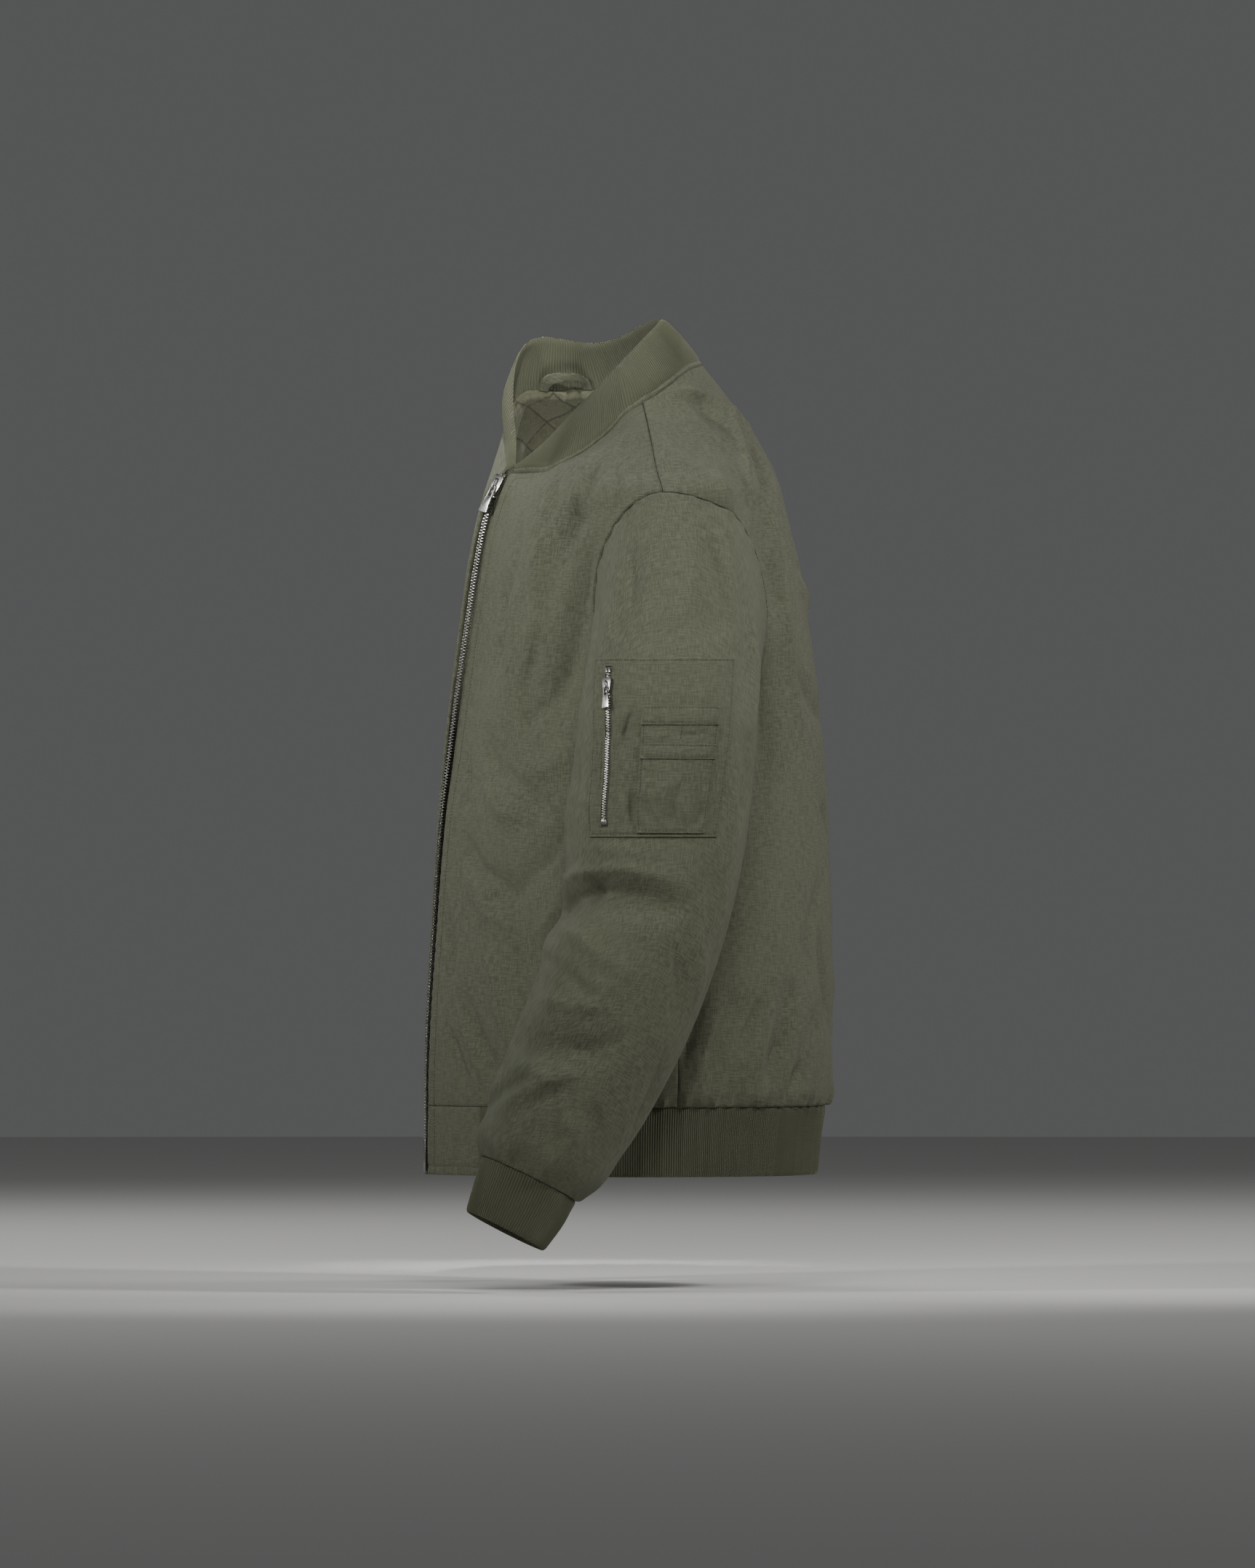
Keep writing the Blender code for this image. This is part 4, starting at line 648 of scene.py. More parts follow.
def sleeve(side, around, ring, out=0.0):
    around, ring = np.asarray(around, float), np.asarray(ring, float)
    form = sleeve_form(side, around, ring)
    shown = half_turns(around)
    behind = np.where(shown < -80, shown + 360, shown)
    rise = broad_folds(BROAD_SLEEVE[side], shown, form[..., 2], ROUND_MM) * ease(ring, 0.05, 0.5)
    inner = [row for row in SLEEVE_CREASES[side] if row[2][0] > 110]
    outer = [row for row in SLEEVE_CREASES[side] if row[2][0] <= 110]
    sharp = creases(outer, shown, form[..., 2], ROUND_MM) + creases(inner, behind, form[..., 2], ROUND_MM)
    rise = rise + SLEEVE_CREASE_DEPTH * sharp * ease(ring, 0.02, 0.3)
    rise = rise * (1 - ease(ring, CUFF_RING - 0.3, CUFF_RING))
    drawn = cosine(around * 8) + 0.5 * cosine(around * 5 + 60)
    near_cuff = ease(ring, CUFF_RING - 0.9, CUFF_RING - 0.2) * (1 - ease(ring, CUFF_RING - 0.2, CUFF_RING))
    above_cuff = np.where(ring < CUFF_RING, (CUFF_RING - ring) * RING_MM, -2.0)
    rise = rise + CUFF_WAVE * drawn * near_cuff + BLOUSE * bell(ring, BLOUSE_RING, BLOUSE_HALF)
    rise = rise + puckers(CUFF_PUCKERS, around, above_cuff)
    rise = rise + HEAD_PUCKER * puckers(HEAD_PUCKERS, around, ring * HEAD_RING_MM) + out
    return form + sleeve_out(side, around, ring) * rise[..., None]


def sleeve_ring_at(around, height):
    """The ring at which the left sleeve's line `around` passes a height, by halving the interval."""
    around, height = np.broadcast_arrays(np.asarray(around, float), np.asarray(height, float))
    low, high = np.zeros(around.shape), np.full(around.shape, CUFF_RING)
    for _ in range(16):
        middle = (low + high) / 2
        below = sleeve_form(1, around, middle)[..., 2] < height
        low, high = np.where(below, low, middle), np.where(below, middle, high)
    return (low + high) / 2


cuff_end = sleeve(1, np.array([0.0]), np.array([CUFF_END_RING]))
print("the left sleeve ends", -round(float(cuff_end[0, 2])), "mm below the neck")

# %% [markdown]
# ## From a grid of points to a wall of cloth
#
# Cloth has two faces and an edge. Each piece is a grid of outer points and the same grid moved in by the
# cloth's thickness, closed along its border. The border is also where a sewn seam shows: the outer face
# rolls down into the seam over a couple of millimetres and ripples a little where the thread pulls it, so
# every grid has extra rows beside its seams, and the roll is worked out from the distance to the border.

# %% Distances and edges
METRES = 0.001
CLOSE = (0, 0.5, 1.1, 1.9, 3.0, 4.6)                       # how far from a sewn edge a grid's first places lie
ALL_SIDES = ("left", "right", "top", "bottom")
ROLL_REACH, ROLL_SHARPNESS, DRAWN_PITCH = 1.1, 1.4, 8.5    # the roll into a seam, and the pull of its thread


def lengths_along(points, axis):
    steps = np.linalg.norm(np.diff(points, axis=axis), axis=-1)
    start = np.zeros_like(np.take(steps, [0], axis=axis))
    return np.concatenate([start, np.cumsum(steps, axis=axis)], axis=axis)


def border_distance(points, sides):
    """Millimetres from each point to the nearest of the named borders of its grid."""
    across, down = lengths_along(points, 1), lengths_along(points, 0)
    far = {"left": across, "right": across[:, -1:] - across, "top": down, "bottom": down[-1:] - down}
    return np.min([far[side] for side in sides], axis=0)


def seam_roll(points, sides, deep=1.1, ripple=0.35):
    """How far the outer face sinks beside its seams."""
    near = border_distance(points, sides)
    across, down = lengths_along(points, 1), lengths_along(points, 0)
    along = np.where(np.minimum(across, across[:, -1:] - across) < np.minimum(down, down[-1:] - down), down, across)
    drawn = wave(along, DRAWN_PITCH) + 0.6 * wave(along, DRAWN_PITCH * 1.63, 1.3)
    return -deep * np.exp(-(near / ROLL_REACH)**ROLL_SHARPNESS) + ripple * drawn * bell(near, 3.0, 3.4)


def spread(length, cell, first=CLOSE, last=CLOSE):
    """Places from 0 to 1 along a length in millimetres, close together at both ends."""
    low = np.array(first, float)
    high = length - np.array(last, float)[::-1]
    count = max(2, int(np.ceil((high[0] - low[-1]) / cell)))
    return np.concatenate([low, np.linspace(low[-1], high[0], count + 1)[1:-1], high]) / length


def cloth_area(points):
    """Square metres of a grid's outer face."""
    p = points * METRES
    a, b, c, d = p[:-1, :-1], p[:-1, 1:], p[1:, 1:], p[1:, :-1]
    double = [np.linalg.norm(np.cross(one, other), axis=-1) for one, other in ((b - a, d - a), (b - c, d - c))]
    return float(sum(double).sum() / 2)


print("a 100 mm row with 4 mm cells has", len(spread(100.0, 4.0)), "places")

# %% The wall of cloth
CLOTH_ANGLE, BEAD_ANGLE, TOOTH_ANGLE, CAST_ANGLE = 62, 80, 50, 40          # sharper edges than these stay sharp


def new_piece(name, mesh, material, sharp_angle, body_name="jacket"):
    """Turns a closed mesh's faces outward, smooths it up to an angle and adds it to a body."""
    made = bmesh.new()
    made.from_mesh(mesh)
    bmesh.ops.recalc_face_normals(made, faces=made.faces)
    made.to_mesh(mesh)
    made.free()
    mesh.shade_smooth()
    mesh.set_sharp_from_angle(angle=np.radians(sharp_angle))
    mesh.materials.append(material)
    piece = bpy.data.objects.new(name, mesh)
    bpy.context.collection.objects.link(piece)
    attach(piece, body_name)
    return piece


def cloth_object(name, outer, inner, material, uv, loop=False, holes=None):
    """A closed wall between two grids; uv is millimetres along the threads."""
    rows, columns = outer.shape[:2]
    wide = columns if loop else columns - 1
    count = rows * columns
    index = np.arange(count).reshape(rows, columns)
    open_cells = np.zeros((rows - 1, wide), bool) if holes is None else holes
    a, d = index[:-1], index[1:]
    b, c = np.roll(a, -1, axis=1), np.roll(d, -1, axis=1)
    quads = np.stack([a, b, c, d], axis=-1)[:, :wide]
    kept = ~open_cells
    faces = [quads[kept], quads[kept][:, ::-1] + count]
    padded = np.zeros((rows + 1, wide + 2), bool)
    padded[1:-1, 1:-1] = kept
    if loop:
        padded[1:-1, 0], padded[1:-1, -1] = kept[:, -1], kept[:, 0]
    beside = (padded[:-2, 1:-1], padded[1:-1, 2:], padded[2:, 1:-1], padded[1:-1, :-2])
    rim = []
    for side, other in enumerate(beside):
        edge = quads[kept & ~other]
        start, end = edge[:, side], edge[:, (side + 1) % 4]
        rim.append(np.stack([end, start, start + count, end + count], axis=-1))
    faces = np.concatenate(faces + rim)
    points = lift_right_neck(np.concatenate([outer.reshape(-1, 3), inner.reshape(-1, 3)])) * METRES
    mesh = bpy.data.meshes.new(name)
    used = np.unique(faces)
    renumber = np.full(len(points), -1)
    renumber[used] = np.arange(len(used))
    faces = renumber[faces]
    mesh.vertices.add(len(used))
    mesh.vertices.foreach_set("co", points[used].astype(np.float32).ravel())
    mesh.loops.add(faces.size)
    mesh.loops.foreach_set("vertex_index", faces.astype(np.int32).ravel())
    mesh.polygons.add(len(faces))
    mesh.polygons.foreach_set("loop_start", np.arange(0, faces.size, 4, dtype=np.int32))
    mesh.polygons.foreach_set("loop_total", np.full(len(faces), 4, np.int32))
    mesh.update(calc_edges=True)
    threads = np.concatenate([uv.reshape(-1, 2)] * 2)[used] * METRES
    corners = threads[faces.ravel()].reshape(-1, 4, 2)
    if loop:                                          # the last column of a tube wraps on instead of running back
        turn_of = np.concatenate([np.tile(np.arange(columns), rows)] * 2)[used][faces]
        wraps = (turn_of.max(axis=1) == columns - 1) & (turn_of.min(axis=1) == 0)
        step = (uv[:, 1:, 0] - uv[:, :-1, 0]).mean() * METRES
        around = (uv[:, -1, 0].mean() - uv[:, 0, 0].mean()) * METRES + step
        corners[..., 0] = np.where(wraps[:, None] & (turn_of == 0), corners[..., 0] + around, corners[..., 0])
    layer = mesh.uv_layers.new(name="threads")
    layer.data.foreach_set("uv", corners.reshape(-1).astype(np.float32))
    return new_piece(name, mesh, material, CLOTH_ANGLE)


def small_solids(name, points, faces, material, sharp_angle):
    """Many small closed solids, given in millimetres, as one piece."""
    mesh = bpy.data.meshes.new(name)
    mesh.from_pydata((lift_right_neck(points) * METRES).tolist(), [], faces)
    return new_piece(name, mesh, material, sharp_angle)


SHEET_AREAS, GRIDS = {}, {}


def shell_piece(node, name, outer, inner, material, uv, slot="shell", **options):
    """A cloth piece that stands for its solid."""
    piece = cloth_object(name, outer, inner, material, uv, **options)
    GRIDS[name] = (outer, inner)
    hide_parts(node)
    SHEET_AREAS[name] = round(cloth_area(outer), 3)
    return piece


def body_panel(node, name, turn, height, roll):
    """A panel of shell cloth on the body's form, with its outer face rolled in at the seams."""
    uv = np.stack([turn * TURN_MM, height], axis=-1)
    return shell_piece(node, name, body(turn, height, roll), body(turn, height, -WALL), SHELL, uv)


# %% [markdown]
# ## Finishes: the shared parts
#
# Three effects turn up in several materials, so each is a node group with named sockets. The weave group
# draws threads in both directions with thicker slubs among them. The knit group draws a rib's little
# V-shaped loops. The blotch group varies a colour over a hand's width, as dye and handling do. The threads
# follow the cloth because they read the map, in metres along the cloth, that each piece carries.

# %% Node groups
VECTOR, NUMBER, ORIGIN = "NodeSocketVector", "NodeSocketFloat", (0, 0, 0)
LOOP_TALL = 0.0016                                         # a knitted row, in metres


def new_group(name, inputs, outputs):
    group = bpy.data.node_groups.new(name, "ShaderNodeTree")
    for label, kind, value in inputs:
        socket = group.interface.new_socket(label, in_out="INPUT", socket_type=kind)
        socket.default_value = value
    for label, kind in outputs:
        group.interface.new_socket(label, in_out="OUTPUT", socket_type=kind)
    enter, leave = group.nodes.new("NodeGroupInput"), group.nodes.new("NodeGroupOutput")
    return group, enter, leave


def math_node(tree, operation, first, second=None, clamp=False):
    node = tree.nodes.new("ShaderNodeMath")
    node.operation, node.use_clamp = operation, clamp
    for socket, value in zip(node.inputs, (first, second)):
        if value is None:
            continue
        if isinstance(value, (int, float)):
            socket.default_value = value
        else:
            tree.links.new(value, socket)
    return node.outputs[0]


def maths(tree, *operations):
    """One short function for each of these kinds of maths node."""
    return [lambda *values, kind=kind, **options: math_node(tree, kind, *values, **options) for kind in operations]


def axes(tree, vector):
    """The x and y of a vector."""
    split = tree.nodes.new("ShaderNodeSeparateXYZ")
    tree.links.new(vector, split.inputs[0])
    return split.outputs["X"], split.outputs["Y"]


def noise(tree, vector, scale, turned=(0, 0, 0), detail=2.0, roughness=0.55):
    """Soft noise over a place that is stretched by a scale and may be turned."""
    stretch, node = tree.nodes.new("ShaderNodeMapping"), tree.nodes.new("ShaderNodeTexNoise")
    set_inputs(stretch, Scale=scale, Rotation=turned)
    set_inputs(node, Scale=1.0, Detail=detail, Roughness=roughness)
    tree.links.new(vector, stretch.inputs["Vector"])
    tree.links.new(stretch.outputs["Vector"], node.inputs["Vector"])
    return node.outputs["Fac"]


def crest(tree, soft):
    """Turns soft noise into folds with a narrow top."""
    minus, times, size, power = maths(tree, "SUBTRACT", "MULTIPLY", "ABSOLUTE", "POWER")
    return power(minus(1.0, times(size(minus(soft, 0.5)), 4.5), clamp=True), 2.0)


def make_weave_group():
    """Height is for a bump and Slub, from 0 to 1, for colour. Place gives the small wrinkles."""
    group, enter, leave = new_group(
        "woven_threads", [("Threads", VECTOR, ORIGIN), ("Place", VECTOR, ORIGIN), ("Pitch", NUMBER, 0.0009),
                          ("Wrinkles", NUMBER, 3.0)], [("Height", NUMBER), ("Slub", NUMBER)])
    plus, times, wavy, over = maths(group, "ADD", "MULTIPLY", "SINE", "DIVIDE")
    x, y = axes(group, enter.outputs["Threads"])
    turns = over(2 * np.pi, enter.outputs["Pitch"])
    crossing = plus(times(wavy(times(x, turns)), wavy(times(y, turns))), times(wavy(times(plus(x, y), turns)), 0.6))
    long_way = noise(group, enter.outputs["Threads"], (900, 110, 1))
    short_way = noise(group, enter.outputs["Threads"], (100, 800, 1))
    slub = times(plus(long_way, short_way), 0.5)
    grainy = noise(group, enter.outputs["Threads"], (620, 620, 1), detail=3.0)
    upright = crest(group, noise(group, enter.outputs["Place"], (44, 44, 11), roughness=0.45))
    slanting = crest(group, noise(group, enter.outputs["Place"], (60, 60, 17), (0.7, 0.35, 0), roughness=0.45))
    threads = plus(times(crossing, 0.12), plus(slub, times(grainy, 0.5)))
    wrinkled = times(plus(upright, times(slanting, 0.7)), enter.outputs["Wrinkles"])
    group.links.new(plus(threads, wrinkled), leave.inputs["Height"])
    group.links.new(slub, leave.inputs["Slub"])
    return group


def make_blotch_group():
    """Mask: 0 to 1, how faded the cloth is here."""
    group, enter, leave = new_group(
        "hand_wide_blotches", [("Place", VECTOR, ORIGIN), ("Size", NUMBER, 0.1)], [("Mask", NUMBER)])
    scaled, wide = group.nodes.new("ShaderNodeVectorMath"), group.nodes.new("ShaderNodeTexNoise")
    scaled.operation = "SCALE"
    group.links.new(enter.outputs["Place"], scaled.inputs[0])
    group.links.new(math_node(group, "DIVIDE", 1.0, enter.outputs["Size"]), scaled.inputs["Scale"])
    set_inputs(wide, Scale=1.0, Detail=4.0, Roughness=0.6)
    group.links.new(scaled.outputs[0], wide.inputs["Vector"])
    ramp = group.nodes.new("ShaderNodeMapRange")
    set_inputs(ramp, From_Min=0.32, From_Max=0.68)
    group.links.new(wide.outputs["Fac"], ramp.inputs["Value"])
    group.links.new(ramp.outputs["Result"], leave.inputs["Mask"])
    return group


def make_knit_group():
    """A rib's columns of little V loops. Column marks the rib's crown with 1 and the valley with 0."""
    group, enter, leave = new_group(
        "knit_loops", [("Threads", VECTOR, ORIGIN), ("Rib Pitch", NUMBER, 0.0021)],
        [("Height", NUMBER), ("Column", NUMBER)])
    plus, times, wavy, size = maths(group, "ADD", "MULTIPLY", "SINE", "ABSOLUTE")
    x, y = axes(group, enter.outputs["Threads"])
    phase = times(x, math_node(group, "DIVIDE", 2 * np.pi, enter.outputs["Rib Pitch"]))
    crown = times(plus(math_node(group, "COSINE", phase), 1.0), 0.5)
    loops = wavy(plus(times(y, 2 * np.pi / LOOP_TALL), times(size(wavy(phase)), 2.2)))
    fuzz = noise(group, enter.outputs["Threads"], (1400, 1400, 1))
    group.links.new(plus(plus(times(loops, 0.22), times(fuzz, 0.5)), times(crown, 0.8)), leave.inputs["Height"])
    # Column is also the mask for the painted shade in the rib's valleys
    group.links.new(crown, leave.inputs["Column"])
    return group


WEAVE, BLOTCH, KNIT = make_weave_group(), make_blotch_group(), make_knit_group()
print("node groups", [group.name for group in (WEAVE, BLOTCH, KNIT)])

# %% [markdown]
# ## Finishes: cloth, rib, tape, thread and metal
#
# The shell is a matt olive cotton blend: rough, with a faint sheen where light grazes it. A rib is knitted
# from wool yarn; its valleys are given a darker colour, which is painted shade in the rib's hollows. The zip is
# nickel plated, dulled and finely scratched. Each finish mixes two close colours by the shared masks, because no real
# cloth is one colour all over.

# %% Shader helpers
RIB_PITCH, RIB_RISE = 2.1, 0.32                            # a rib's width and half its height, in millimetres
DIAMOND = 40.0                                             # between the lining's rows of quilting, in millimetres


def new_finish(name):
    material = bpy.data.materials.new(name)
    material.use_nodes = True
    tree = material.node_tree
    return material, tree, tree.nodes["Principled BSDF"]


def placed(tree, group, **values):
    node = tree.nodes.new("ShaderNodeGroup")
    node.node_tree = group
    set_inputs(node, **values)
    return node


def blotches(tree, place, size):
    """0 to 1, in patches of a size in metres."""
    node = placed(tree, BLOTCH, Size=size)
    tree.links.new(place, node.inputs["Place"])
    return node.outputs["Mask"]


def mix_colours(tree, factor, first, second):
    node = tree.nodes.new("ShaderNodeMix")
    node.data_type = "RGBA"
    for socket, value in ((node.inputs[6], first), (node.inputs[7], second)):
        if isinstance(value, tuple):
            socket.default_value = (*value, 1)
        else:
            tree.links.new(value, socket)
    tree.links.new(factor, node.inputs[0])
    return node.outputs[2]


def threads_of(tree):
    node = tree.nodes.new("ShaderNodeUVMap")
    node.uv_map = "threads"
    return node.outputs["UV"]


def place_of(tree):
    return tree.nodes.new("ShaderNodeTexCoord").outputs["Object"]


def add_bump(tree, shader, height, strength, distance):
    node = tree.nodes.new("ShaderNodeBump")
    set_inputs(node, Strength=strength, Distance=distance)
    tree.links.new(height, node.inputs["Height"])
    tree.links.new(node.outputs["Normal"], shader.inputs["Normal"])


def roughness_from(tree, shader, mask, low, high):
    node = tree.nodes.new("ShaderNodeMapRange")
    set_inputs(node, To_Min=low, To_Max=high)
    tree.links.new(mask, node.inputs["Value"])
    tree.links.new(node.outputs["Result"], shader.inputs["Roughness"])


print("shader helpers ready, with groups for", [group.name for group in (WEAVE, BLOTCH, KNIT)])

# %% Finishes
SHEEN_TINT = (0.75, 0.76, 0.66, 1)


def woven_finish(name, dark, light, slub_colour, pitch=0.0009, strength=0.75, distance=0.0006, sheen=0.10,
                 has_threads=True, wrinkles=1.3, quilted=False):
    material, tree, shader = new_finish(name)
    place = place_of(tree)
    threads = threads_of(tree) if has_threads else place
    weave = placed(tree, WEAVE, Pitch=pitch, Wrinkles=wrinkles)
    tree.links.new(place, weave.inputs["Place"])
    tree.links.new(threads, weave.inputs["Threads"])
    worn = blotches(tree, place, 0.085)
    faded = mix_colours(tree, worn, dark, light)
    spread_slub = tree.nodes.new("ShaderNodeMapRange")
    set_inputs(spread_slub, From_Min=0.42, From_Max=0.58, To_Max=0.85)
    tree.links.new(weave.outputs["Slub"], spread_slub.inputs["Value"])
    coloured = mix_colours(tree, spread_slub.outputs["Result"], faded, slub_colour)
    if quilted:                                            # rows of quilting thread, darkened with painted shade for their grooves
        x, y = axes(tree, threads)
        times, size, wavy, minus, lower = maths(tree, "MULTIPLY", "ABSOLUTE", "SINE", "SUBTRACT", "MINIMUM")
        lines = [size(wavy(times(slant(x, y), np.pi / (DIAMOND * METRES)))) for slant in maths(tree, "ADD", "SUBTRACT")]
        # painted shade: a dark colour laid along the quilting lines, where the grooves would be in shade
        quilt_lines_painted_shade = minus(1.0, times(lower(*lines), 7.0), clamp=True)
        coloured = mix_colours(tree, times(quilt_lines_painted_shade, 0.85), coloured, tuple(c * 0.3 for c in dark))
    tree.links.new(coloured, shader.inputs["Base Color"])
    roughness_from(tree, shader, worn, 0.78, 0.90)
    set_inputs(shader, Sheen_Weight=sheen, Sheen_Roughness=0.45, Sheen_Tint=SHEEN_TINT, Specular_IOR_Level=0.28)
    add_bump(tree, shader, weave.outputs["Height"], strength, distance)
    return material


def rib_finish(name, valley, crown):
    material, tree, shader = new_finish(name)
    knit = placed(tree, KNIT, Rib_Pitch=RIB_PITCH * METRES)
    tree.links.new(threads_of(tree), knit.inputs["Threads"])
    worn = blotches(tree, place_of(tree), 0.05)
    # painted shade: the valleys get the darker colour and the crowns the lighter, by the Column mask
    ribbed = mix_colours(tree, knit.outputs["Column"], valley, crown)
    faded = mix_colours(tree, math_node(tree, "MULTIPLY", worn, 0.35), ribbed, tuple(c * 1.12 for c in crown))
    tree.links.new(faded, shader.inputs["Base Color"])
    roughness_from(tree, shader, worn, 0.84, 0.95)
    set_inputs(shader, Sheen_Weight=0.18, Sheen_Roughness=0.5, Sheen_Tint=SHEEN_TINT, Specular_IOR_Level=0.2)
    add_bump(tree, shader, knit.outputs["Height"], 0.6, 0.0006)
    return material


def metal_finish(name, clean, dull, rough):
    material, tree, shader = new_finish(name)
    place = place_of(tree)
    scratches = noise(tree, place, (900, 900, 5200), detail=3.0, roughness=0.6)
    tarnish = blotches(tree, place, 0.006)
    tree.links.new(mix_colours(tree, tarnish, clean, dull), shader.inputs["Base Color"])
    roughness_from(tree, shader, tarnish, *rough)
    set_inputs(shader, Metallic=1.0)
    add_bump(tree, shader, scratches, 0.25, 0.00006)
    return material


SHELL = woven_finish("olive_shell", (0.052, 0.0555, 0.0335), (0.072, 0.0760, 0.0475), (0.102, 0.106, 0.073))
POCKET_CLOTH = woven_finish(
    "olive_pocket", (0.053, 0.0560, 0.0345), (0.071, 0.0745, 0.0465), (0.094, 0.098, 0.067), wrinkles=2.2)
LINING = woven_finish(
    "olive_lining", (0.066, 0.068, 0.040), (0.086, 0.088, 0.054), (0.106, 0.108, 0.070),
    pitch=0.0007, strength=0.5, distance=0.0004, sheen=0.3, quilted=True)
TAPE = woven_finish(
    "zip_tape_green", (0.046, 0.048, 0.032), (0.060, 0.062, 0.044), (0.078, 0.080, 0.058),
    pitch=0.0012, strength=0.8, distance=0.0004, sheen=0.15, wrinkles=0.3)
RIB = rib_finish("olive_rib", (0.044, 0.0465, 0.0275), (0.071, 0.0745, 0.047))
# painted shade: the thread's colour is set darker than the cloth's, for the low dashes and their holes
THREAD_PAINTED_SHADE = woven_finish(
    "sewing_thread_painted_shade", (0.030, 0.031, 0.019), (0.042, 0.043, 0.027), (0.060, 0.062, 0.040),
    pitch=0.0004, strength=0.5, distance=0.0001, sheen=0.2, has_threads=False, wrinkles=0.0)
BRIGHT_NICKEL = metal_finish("nickel_teeth", (0.58, 0.57, 0.545), (0.36, 0.355, 0.335), (0.26, 0.45))
DULL_NICKEL = metal_finish("dull_nickel", (0.42, 0.41, 0.39), (0.22, 0.215, 0.20), (0.20, 0.36))
FINISHES = (SHELL, POCKET_CLOTH, LINING, TAPE, RIB, THREAD_PAINTED_SHADE, BRIGHT_NICKEL, DULL_NICKEL)
print("finishes", [finish.name for finish in FINISHES])

# %% [markdown]
# ## Fronts and back
#
# Two fronts meet the zip, one back closes them. On the real jacket each is one flat cut of cloth sewn at
# the shoulder, the armhole, the side and the hem. Each is made here as rows from one edge to the other,
# with the rows' ends sliding along the seams, so the grid bends with the cut as the threads do.

# %% Fronts
SIDE_CLIMB = np.array([0, 9, 21, 38, 62, 100, 145, 195, 245, 295, 332, UNDERARM_Z - HEM_SEAM_Z])
ARMHOLE_STOPS = np.arange(165, 0, -15)
NECK_STOPS = np.array([4.2, 24, 46, 66, 84, 99])
ZIP_CLIMB, PANEL_CELL = 1.04, 4.0
PLACKET_IN, BLOCK_LINE_UP, EDGE_STITCH = 13.0, 8.0, 1.8    # how far lines of stitching lie from their edges
PLACKET_COLUMNS = (0, 0.4, 0.9, 1.6, 2.6, 4.2, 7.0, 9.5, 11.3, 12.2, 13.0, 13.8, 14.7, 16.5)
PROBE = np.linspace(0, 1, 25)[None, :]


def side_seam_turn(height, behind):
    name = "back_y" if behind else "front_y"
    depth = column(BODY_ROWS, BODY_COLUMNS, name, height) - column(BODY_ROWS, BODY_COLUMNS, "seam_y", height)
    return 90 + np.degrees(HALF_SEAM / depth)


def between(first, last, share):
    """A place for each row and share, from each row's first place to its last."""
    return first[:, None] * (1 - share) + last[:, None] * share


def row_places(marks, lengths, cell):
    """Fine row places between the marks: close together beside the first and the last."""
    total = np.concatenate([[0], np.cumsum(lengths)])
    at = spread(total[-1], cell) * total[-1]
    return np.interp(at, total, marks)


def columns_between(long, cell, first, last):
    """For each row, places from 0 to 1: the same distances beside both edges, even in between."""
    low, high = np.array(first, float), np.array(last, float)[::-1]
    count = int(np.ceil((long.max() - low[-1] - high[0]) / cell))
    middle = np.linspace(0, 1, count + 1)[1:-1]
    scale = np.minimum(1.0, long / (low[-1] + high[0] + 6.0))[:, None]
    left, right = low[None, :] * scale, long[:, None] - high[None, :] * scale
    inside = left[:, -1:] + (right[:, :1] - left[:, -1:]) * middle[None, :]
    return np.concatenate([left, inside, right], axis=1) / long[:, None]


def front_grid():
    climb_count, armhole_count = len(SIDE_CLIMB), len(ARMHOLE_STOPS)
    up_the_zip = np.concatenate([HEM_SEAM_Z + SIDE_CLIMB * ZIP_CLIMB, [-186, -144, -110, -83, NECK_FRONT_Z]])
    marks = np.arange(climb_count + armhole_count + 1)
    side_lengths = np.concatenate([np.diff(SIDE_CLIMB), np.full(armhole_count + 1, 24.0)])
    at = row_places(marks, side_lengths, PANEL_CELL)
    zip_marks = len(up_the_zip) - 1
    # the edge at the zip, then along the neck seam
    zip_z = np.interp(at, np.arange(zip_marks + 1), up_the_zip)
    neck_round = np.interp(at, zip_marks + np.arange(len(NECK_STOPS) + 2), [0.0, *NECK_STOPS, NECK_SIDE_ROUND])
    neck_turn, neck_z = neck_place(neck_round)
    on_zip = at <= zip_marks
    centre_turn = np.where(on_zip, zip_turn(zip_z, ZIP_HALF_OPENING), neck_turn)
    centre_z = np.where(on_zip, zip_z, neck_z)
    # the edge at the side seam, then round the armhole
    side_z = np.interp(at, np.arange(climb_count), HEM_SEAM_Z + SIDE_CLIMB)
    around = np.interp(at, climb_count - 1 + np.arange(armhole_count + 2), [180, *ARMHOLE_STOPS, 0])
    hole_turn, hole_z = armhole_place(1, around)
    on_side = at <= climb_count - 1
    side_turn = np.where(on_side, side_seam_turn(side_z, False), hole_turn)
    side_z = np.where(on_side, side_z, hole_z)
    side_turn[-1] = side_seam_turn(np.array([SHOULDER_TIP_Z]), False)[0]
    centre_turn[-1] = side_seam_turn(np.array([NECK_SIDE_Z]), False)[0]
    coarse = body_form(between(centre_turn, side_turn, PROBE), between(centre_z, side_z, PROBE))
    share = columns_between(lengths_along(coarse, 1)[:, -1], PANEL_CELL, PLACKET_COLUMNS, CLOSE)
    turn, height = between(centre_turn, side_turn, share), between(centre_z, side_z, share)
    top = ease(np.arange(len(at)), len(at) - 7, len(at) - 1)[:, None]
    turn = turn * (1 - top) + (turn + (side_seam_turn(height, False) - turn) * top) * top
    turn[-1] = side_seam_turn(height[-1], False)
    return turn, height


def channel(far, at, half_width, deep):
    """The groove that a line of stitching pulls into cloth."""
    return -deep * bell(far, at, half_width)


def make_front(node, side):
    turn, height = front_grid()
    turn = turn * side
    flat = body(turn, height)
    roll = seam_roll(flat, ALL_SIDES) + channel(lengths_along(flat, 1), PLACKET_IN, 1.0, 0.7)
    return body_panel(node, node + "_shell", turn, height, roll)


left_front = make_front("left_front", 1)
right_front = make_front("right_front", -1)


